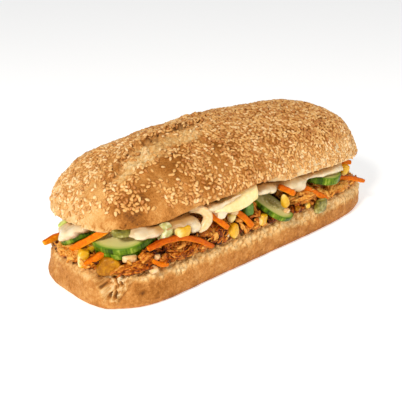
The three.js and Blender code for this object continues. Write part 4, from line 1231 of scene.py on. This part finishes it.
def chicken(material):
    """One heap, with real strands, torn clumps and crumbs over it wherever the roll is open."""
    rng = np.random.default_rng(5)
    verts, faces = heap_mesh(1.2, 880, 9, 22)
    normal = normals_of(verts, faces)
    warp = np.stack([grain(verts, 3.2, 2, seed) for seed in (43, 44, 45)], -1)
    bent = verts + 1.8 * warp
    lump = smooth(0.8, 0.1, pits(bent, 3.6, 41))
    nub = smooth(0.8, 0.1, pits(bent, 1.9, 42))
    height = 1.9 * lump + 1.0 * nub + 0.7 * grain(verts, 7, 2, 46)
    others = others_tree()
    room = np.array([others.find_nearest(Vector(v))[3] for v in verts])
    ahead = np.array([others.ray_cast(Vector(v), Vector(OPEN_WAY), 5)[0] is not None for v in verts])
    height = height - 1.8 * smooth(2.4, 0.4, room) - 1.8 * ahead
    verts = verts + normal * (height - 1.6)[:, None]
    verts[:, 2] = np.maximum(verts[:, 2], 18.9)
    ends = np.maximum(smooth(-84, -104, verts[:, 0]), smooth(20, 50, verts[:, 0]))
    # painted shade: the heap's lumps and nubs paler and the hollows between them near black; a little tanner
    # at both ends
    piece("chicken_heap", verts, faces, material, ["pulled_chicken"], {
        "tone": 0.04 * ends + 0.42 * lump * (0.4 + 0.6 * nub) + 0.16 * nub,
        "along": bent[:, 0], "around": bent[:, 2] * 2 + bent[:, 1]})

    skin_verts, skin_faces = heap_mesh(0.0, 420, 5, 12)
    skin_normal = normals_of(skin_verts, skin_faces)
    skin = BVHTree.FromPolygons([tuple(v) for v in skin_verts], [tuple(f) for f in skin_faces])
    x, y, z = skin_verts.T
    open_side = np.maximum.reduce([smooth(24, 30, np.abs(y)), smooth(-84, -92, x), smooth(80, 90, x)])
    chance = open_side * (z > 19.6) * (skin_normal[:, 2] > -0.4)
    chance = chance * (0.35 + 0.65 * smooth(10, -20, y - 0.2 * x))
    chance = chance * (1 - smooth(-84, -94, x) * smooth(4, 12, y))
    crumbly = chance * (1 + 2.5 * smooth(-92, -102, x))
    chance = chance * (1 - 0.7 * smooth(-92, -102, x)) * (1 - 0.4 * smooth(10, 40, x))
    chance, crumbly = chance / chance.sum(), crumbly / crumbly.sum()

    def hides_something(points):
        """Whether a strand would lie in front of a piece that shows."""
        hits = [others.ray_cast(Vector(p - OPEN_WAY * 2), Vector(OPEN_WAY), 13)[0] for p in points]
        return sum(hit is not None for hit in hits) > 0.2 * len(points)

    def shade_at(point):
        """Tanner at both ends, deeper orange-brown along the middle."""
        ends = max(float(smooth(-84, -104, point[0])), float(smooth(20, 50, point[0])))
        return 0.33 + 0.24 * ends

    def drape(points, lifts, radius):
        """Lays a line of points over the heap, ducking under whatever sticks out of it."""
        laid = []
        for point in points:
            place, way, _, _ = skin.find_nearest(Vector(point))
            place, way = np.array(place), np.array(way)
            room = others.find_nearest(Vector(place + way * lifts))[3]
            lift = min(lifts, room - radius - 0.4 + lifts * 0.2)
            laid.append(place + way * max(lift, -1.6))
        laid = np.array(laid)
        laid[1:-1] = (laid[:-2] + 2 * laid[1:-1] + laid[2:]) / 4
        laid[:, 2] = np.maximum(laid[:, 2], 19.3 + radius * 0.5)
        return laid

    parts = []
    count = 7
    for _ in range(STRAND_SPOTS):
        spot = rng.choice(len(skin_verts), p=chance)
        centre, up = skin_verts[spot], skin_normal[spot]
        heading = unit(np.cross(up, rng.normal(size=3)))
        side = np.cross(up, heading)
        stout = rng.uniform() < 0.62 + 0.25 * (centre[0] > 15)
        long = rng.uniform(3, 7.5) if stout else rng.uniform(4, 10)
        curl = rng.normal(0, 0.07)
        raise_it = abs(rng.normal(0.2, 0.8))
        # painted light and shade: strands lifted higher off the heap paler, low ones darker
        base_tone = shade_at(centre) + rng.normal(0, 0.2) + 0.16 * (raise_it - 0.7)
        for k in range(rng.integers(2, 5)):
            away = (k - 1.5) * rng.uniform(0.5, 1.1)
            t = np.linspace(-0.5, 0.5, count) * long + rng.normal(0, 0.12 * long)
            line = centre + np.outer(t, heading)
            line = line + np.outer(away + rng.normal(0, 0.06) * t + curl * t * t, side)
            line += rng.normal(0, 0.24, (count, 3))
            radius = rng.uniform(0.65, 1.25) if stout else rng.uniform(0.35, 0.65)
            path = drape(line, raise_it + rng.normal(0, 0.35), radius)
            if np.min(np.linalg.norm(np.diff(path, axis=0), axis=1)) < 0.12 or hides_something(path):
                continue
            parts.append(fibre(path, radius, up, rng, base_tone + rng.normal(0, 0.1)))
    v, f, values = joined(parts)
    piece("chicken_strands", v, f, material, (), values)

    parts = []
    for k, (at, along, half, tone) in enumerate(CLUMPS):
        parts += clump(np.array(at, float), along, half, tone, 200 + k, rng)
    for k, (at, along, half, tone) in enumerate(NUGGETS):
        parts.append(crumb(np.array(at, float), along, half, 260 + k, tone, (28, 18)))
    for k in range(CRUMB_SPOTS):
        spot = rng.choice(len(skin_verts), p=crumbly)
        centre, up = skin_verts[spot], skin_normal[spot]
        half = (rng.uniform(1.1, 3.6), rng.uniform(0.9, 2.2), rng.uniform(0.7, 1.8))
        at = centre + up * rng.uniform(-0.3, 1.1)
        room = others.find_nearest(Vector(at))[3]
        heading = unit(np.cross(up, rng.normal(size=3)))
        if room < half[0] * 0.8 or hides_something([at, at - heading * half[0], at + heading * half[0]]):
            continue
        parts.append(crumb(at, heading, half, 300 + k, shade_at(at) + rng.normal(0.05, 0.22)))
    v, f, values = joined(parts)
    v[:, 2] = np.maximum(v[:, 2], 18.6)
    piece("chicken_clumps", v, f, material, (), values)


# ------------------------------------------------------------------ mayonnaise
SPREAD = dict(long=192, wide=69.6, corner=4.5, thick=4.4, gap=0.6)
# for each ring round the spread, its share of the full width and how far down it lies, 1 at the underside
SPREAD_EDGE = ((0.4, 1), (0.85, 1), (0.96, 0.9), (0.99, 0.75), (1, 0.5), (0.99, 0.25), (0.96, 0.1),
               (0.85, 0), (0.4, 0))
KNIT = 0.85  # the grid on which the spread and its swellings are knitted into one skin
# the swellings that come out past it: middle, half size, turn, lean
MAYO_LUMPS = [
    ((-104.4, 5, 31.6), (5.6, 10, 4.2), 14, -28), ((-97, -1, 35.2), (9, 8, 3), 10, -10),
    ((-83.5, -34.5, 38.8), (9.5, 6, 2.8), -4, 0), ((-86, -28, 39.6), (8, 7, 2.8), 0, 0),
    ((-78, -28, 40.4), (9, 9, 2.6), 0, 0), ((-71, -36.6, 40.6), (7, 5.4, 3), 8, 0),
    ((-63, -37.4, 39.6), (7, 4.6, 3.2), 18, 0), ((-57, -38.2, 36.4), (5, 4.2, 3.2), 30, 0),
    ((-45, -35, 40.2), (6.4, 5.4, 4.6), 0, 0), ((-3, -36.5, 40.8), (9, 5.4, 3.4), 8, 0),
    ((5.5, -37, 38.6), (4.6, 3.6, 3.4), 30, 0), ((21, -37, 38), (9.6, 5.8, 4.8), -8, 0),
    ((29, -37.4, 35.8), (6, 4.6, 5), 0, 0), ((36, -33.6, 37.6), (6, 5, 2.8), 0, 0),
    ((51, -37.6, 38.6), (16, 7, 2.6), -2, 0), ((63, -35.6, 38.4), (8, 5.4, 3), 0, 0),
    ((72, -31, 37), (6, 6, 3), 0, 0), ((-70, 34, 32), (11, 6.4, 2.6), 0, 0),
    ((0, 34, 32), (14, 6, 2.8), 4, 0), ((46, 34, 32), (10, 6, 2.6), 0, 0),
    ((92, 4, 36.6), (9, 12, 2.8), 0, 0), ((-88, 26, 33.2), (9, 7, 3), 30, 0),
    ((-101.5, -1.5, 36.6), (6.5, 7.5, 3.2), 10, -10), ((-88, -32.5, 41), (7, 5, 2.6), 0, 0),
    ((-57.5, -39.4, 33.8), (4.2, 3, 2.8), 0, 0), ((-80, -38.4, 40.6), (8.6, 3.4, 2.4), -4, 0),
    ((-102, 10.5, 33), (4.6, 6, 3), 10, -20), ((-46, -39.2, 43), (6, 3, 3), 0, 0),
    ((-40.5, -42.6, 38.6), (4.6, 1.9, 3.6), 0, 0), ((57, -39.6, 38.2), (9.8, 4.8, 3.4), -2, 0),
    ((66, -37.2, 37.0), (4.2, 5, 3.8), 0, 0), ((-45, -37.6, 38.6), (5, 3, 3.4), 0, 0),
    ((-38, -36.6, 39.6), (5, 3, 2.6), 0, 0), ((-44.5, -42.4, 43.2), (5.6, 1.8, 2.6), 0, 0),
    ((-37, -43.2, 44.8), (5.6, 1.6, 2.1), 0, 0), ((-31, -43.4, 46.2), (4.4, 1.4, 1.6), 0, 0),
]


def mayonnaise(material):
    """One spread under the lid with soft folds swelling out past it."""
    steps = 200
    edge = outline(SPREAD["long"], SPREAD["wide"], SPREAD["corner"], steps)
    rings = []
    for k, low in SPREAD_EDGE:
        x, y = edge[:, 0] * (1 - (1 - k) * 0.4), edge[:, 1] * k
        rings.append(np.stack([x, y, under_lid(x, y) - SPREAD["gap"] - SPREAD["thick"] * low], -1))
    parts = [(*closed(rings, (0, 0, rings[0][:, 2].mean()), (0, 0, rings[-1][:, 2].mean())), {})]
    rng = np.random.default_rng(11)
    for number, (at, half, turn, lean) in enumerate(MAYO_LUMPS):
        way = turning(turn, lean)
        for k in range(6):
            off = rng.uniform(-1, 1, 3) * [0.75, 0.6, 0.35] * half if k else np.zeros(3)
            share = rng.uniform(0.32, 0.6) if k else 0.92
            verts, faces = ball(24, 16)
            swell = 1 + 0.2 * grain(verts, 0.9, 2, 50 + 7 * number + k)
            body = verts * swell[:, None] * np.array(half) * share + off
            parts.append((body @ way.T + at, faces, {}))
    verts, faces, _ = joined(parts)
    obj = new_mesh("mayonnaise_folds", verts, faces)
    knit = obj.modifiers.new("knit", "REMESH")
    knit.mode = "VOXEL"
    knit.voxel_size = KNIT * MM
    knit.use_smooth_shade = True
    soften = obj.modifiers.new("soften", "SMOOTH")
    soften.factor = 0.6
    soften.iterations = 20
    settled(obj)
    settled_at = np.array([v.co for v in obj.data.vertices]) / MM - MIDDLE
    out = np.array([v.normal for v in obj.data.vertices])
    ripple = 0.45 * grain(settled_at, 4.5, 2, 71) + 0.15 * grain(settled_at, 1.6, 2, 72)
    moved = settled_at + out * ripple[:, None]
    obj.data.vertices.foreach_set("co", ((moved + MIDDLE) * MM).ravel())
    x, y, z = moved.T
    # painted shade cast by the lid: over the front left fold, and in the last millimetres below the lid's
    # underside
    front_fold = smooth(37, 41.5, z) * smooth(-88, -82, x) * smooth(-54, -62, x) * smooth(-30, -34, y)
    oily = np.clip(0.8 * front_fold + 0.3 * smooth(-3, 1, z - under_lid(x, y)), 0, 1)
    set_values(obj.data, {"oily": oily})
    obj.data.update()
    obj.data.materials.clear()
    obj.data.materials.append(material)
    obj.data.polygons.foreach_set("use_smooth", [True] * len(obj.data.polygons))
    own(obj, ["mayonnaise"])


# ------------------------------------------------------------------ camera, light and floor
# the camera's place, the way it looks and its focal length
CAMERA = dict(place=(-288.4, -288.4, 189.1), way=(0.6339, 0.6709, -0.3848), lens=62.96)
# place in metres, size in metres, watts, colour; both aim at the middle of the roll
LAMPS = {"key": ((-0.8, -0.3, 0.62), 0.16, 7.2, "#FFFAF2"),
         "front": ((0.3, -0.85, 0.34), 0.45, 2.0, "#FFFAF2")}
LAMP_AIM = (0, 0, 0.03)
# how strongly the room lights the roll, and how bright it is where it is seen directly
ROOM_GLOW = 0.42
BACKDROP = 0.95
# half the floor's side, and how far it lies below the roll, in metres
FLOOR_HALF = 4.0
FLOOR_DROP = 0.0002


def stand_camera():
    """A long lens looking down at the open front left corner."""
    data = bpy.data.cameras.new("camera")
    data.sensor_width = 36
    data.lens = CAMERA["lens"]
    data.clip_start = 0.01
    cam = new_object("camera", data)
    cam.location = (Vector(CAMERA["place"]) + Vector(MIDDLE)) * MM
    cam.rotation_mode = "QUATERNION"
    cam.rotation_quaternion = Vector(CAMERA["way"]).to_track_quat("-Z", "Y")
    scene.camera = cam


def lamp(name, place, size, power, colour):
    """A square soft lamp."""
    data = bpy.data.lights.new(name, "AREA")
    data.size = size
    data.energy = power
    data.color = linear(colour)[:3]
    obj = new_object(name, data)
    obj.location = place
    obj.rotation_mode = "QUATERNION"
    obj.rotation_quaternion = (Vector(LAMP_AIM) - Vector(place)).to_track_quat("-Z", "Y")


def stand_lights():
    """A dim white room that looks bright where it is seen directly, and two lamps."""
    world = bpy.data.worlds.new("pale_room")
    scene.world = world
    world.use_nodes = True
    tree = world.node_tree
    tree.nodes.clear()
    glow, wall = [add(tree, "ShaderNodeBackground", {"Color": linear("#FFFFFF"), "Strength": strength})
                  for strength in (ROOM_GLOW, BACKDROP)]
    straight = add(tree, "ShaderNodeLightPath").outputs["Is Camera Ray"]
    both = add(tree, "ShaderNodeMixShader", {0: straight, 1: glow.outputs[0], 2: wall.outputs[0]}).outputs[0]
    add(tree, "ShaderNodeOutputWorld", {"Surface": both})
    for name, (place, size, power, colour) in LAMPS.items():
        lamp(name, place, size, power, colour)


def lay_floor():
    """A plain white card just under the roll."""
    mesh = bpy.data.meshes.new("floor")
    corners = [(x * FLOOR_HALF, y * FLOOR_HALF, 0) for x, y in ((-1, -1), (1, -1), (1, 1), (-1, 1))]
    mesh.from_pydata(corners, [], [(0, 1, 2, 3)])
    made, tree = new_material("white_card")
    surface(tree, linear("#FFFFFF"), Roughness=0.9, Emission_Color=linear("#FFFFFF"), Emission_Strength=0.4)
    mesh.materials.append(made)
    floor = new_object("floor", mesh)
    floor.location.z = -FLOOR_DROP
    floor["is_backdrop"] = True


# ------------------------------------------------------------------ the whole
stand_camera()
stand_lights()
lay_floor()

crust = baked_crust("oven_baked_crust")
lid = make_lid(crust)
make_heel(crust)
sesame = seed_shape()
scatter(lid, "lid_seeds", sesame, toasted_seed(), SEED["spacing"], SEED["most"], 3)
bpy.data.objects.remove(sesame)

looks = {key: soft_food(**look) for key, look in LOOKS.items()}
for number, (name, (through, wide, high)) in enumerate(CARROTS.items()):
    v, f, values = strip_mesh(through, wide, high, 60 + number)
    # deeper on top and brighter below, to make up for the light that the underside lacks
    values["tone"] = values["tone"] + BRIGHT_STRIPS.get(name, 0.0) - 0.3 * normals_of(v, f)[:, 2] - 0.06
    piece("carrot_strip_" + name, v, f, looks["carrot"], ["carrot_" + name], values)
v, f, values = strip_mesh(ONION_CURL, 4.8, 4.8, 80, corner=2.2, tip=0.7)
piece("onion_curl_whole", v, f, looks["onion"], ["onion_curl"], values)
for number, (name, (at, size, turn, lean, roll)) in enumerate(KERNELS.items()):
    kernel(name, at, size, turn, lean, roll, 90 + number, looks["corn"])
cucumber = fresh_cucumber()
for number, (name, (at, normal, radius, thick)) in enumerate(CUCUMBERS.items()):
    cucumber_slice(name, at, normal, radius, thick, number, cucumber)
cheese(looks["cheese"])
for number, (kind, at, half, turn, lean) in enumerate(SMALL_BITS):
    cut_bit("small_bit_%d" % number, at, half, turn, lean, 140 + number, looks[kind])
v, f, values = strip_mesh(CARROT_SCRAP, 3.2, 2.2, 150)
piece("carrot_scrap", v, f, looks["carrot"], (), values)
for number, (name, (at, half, turn, lean, kind)) in enumerate(LUMPS.items()):
    cut_bit("bit_" + name, at, half, turn, lean, 110 + number, looks[kind], [name],
            TAPERS.get(name, 0.0))
chicken(looks["chicken"])
mayonnaise(egg_mayonnaise())

low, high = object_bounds()
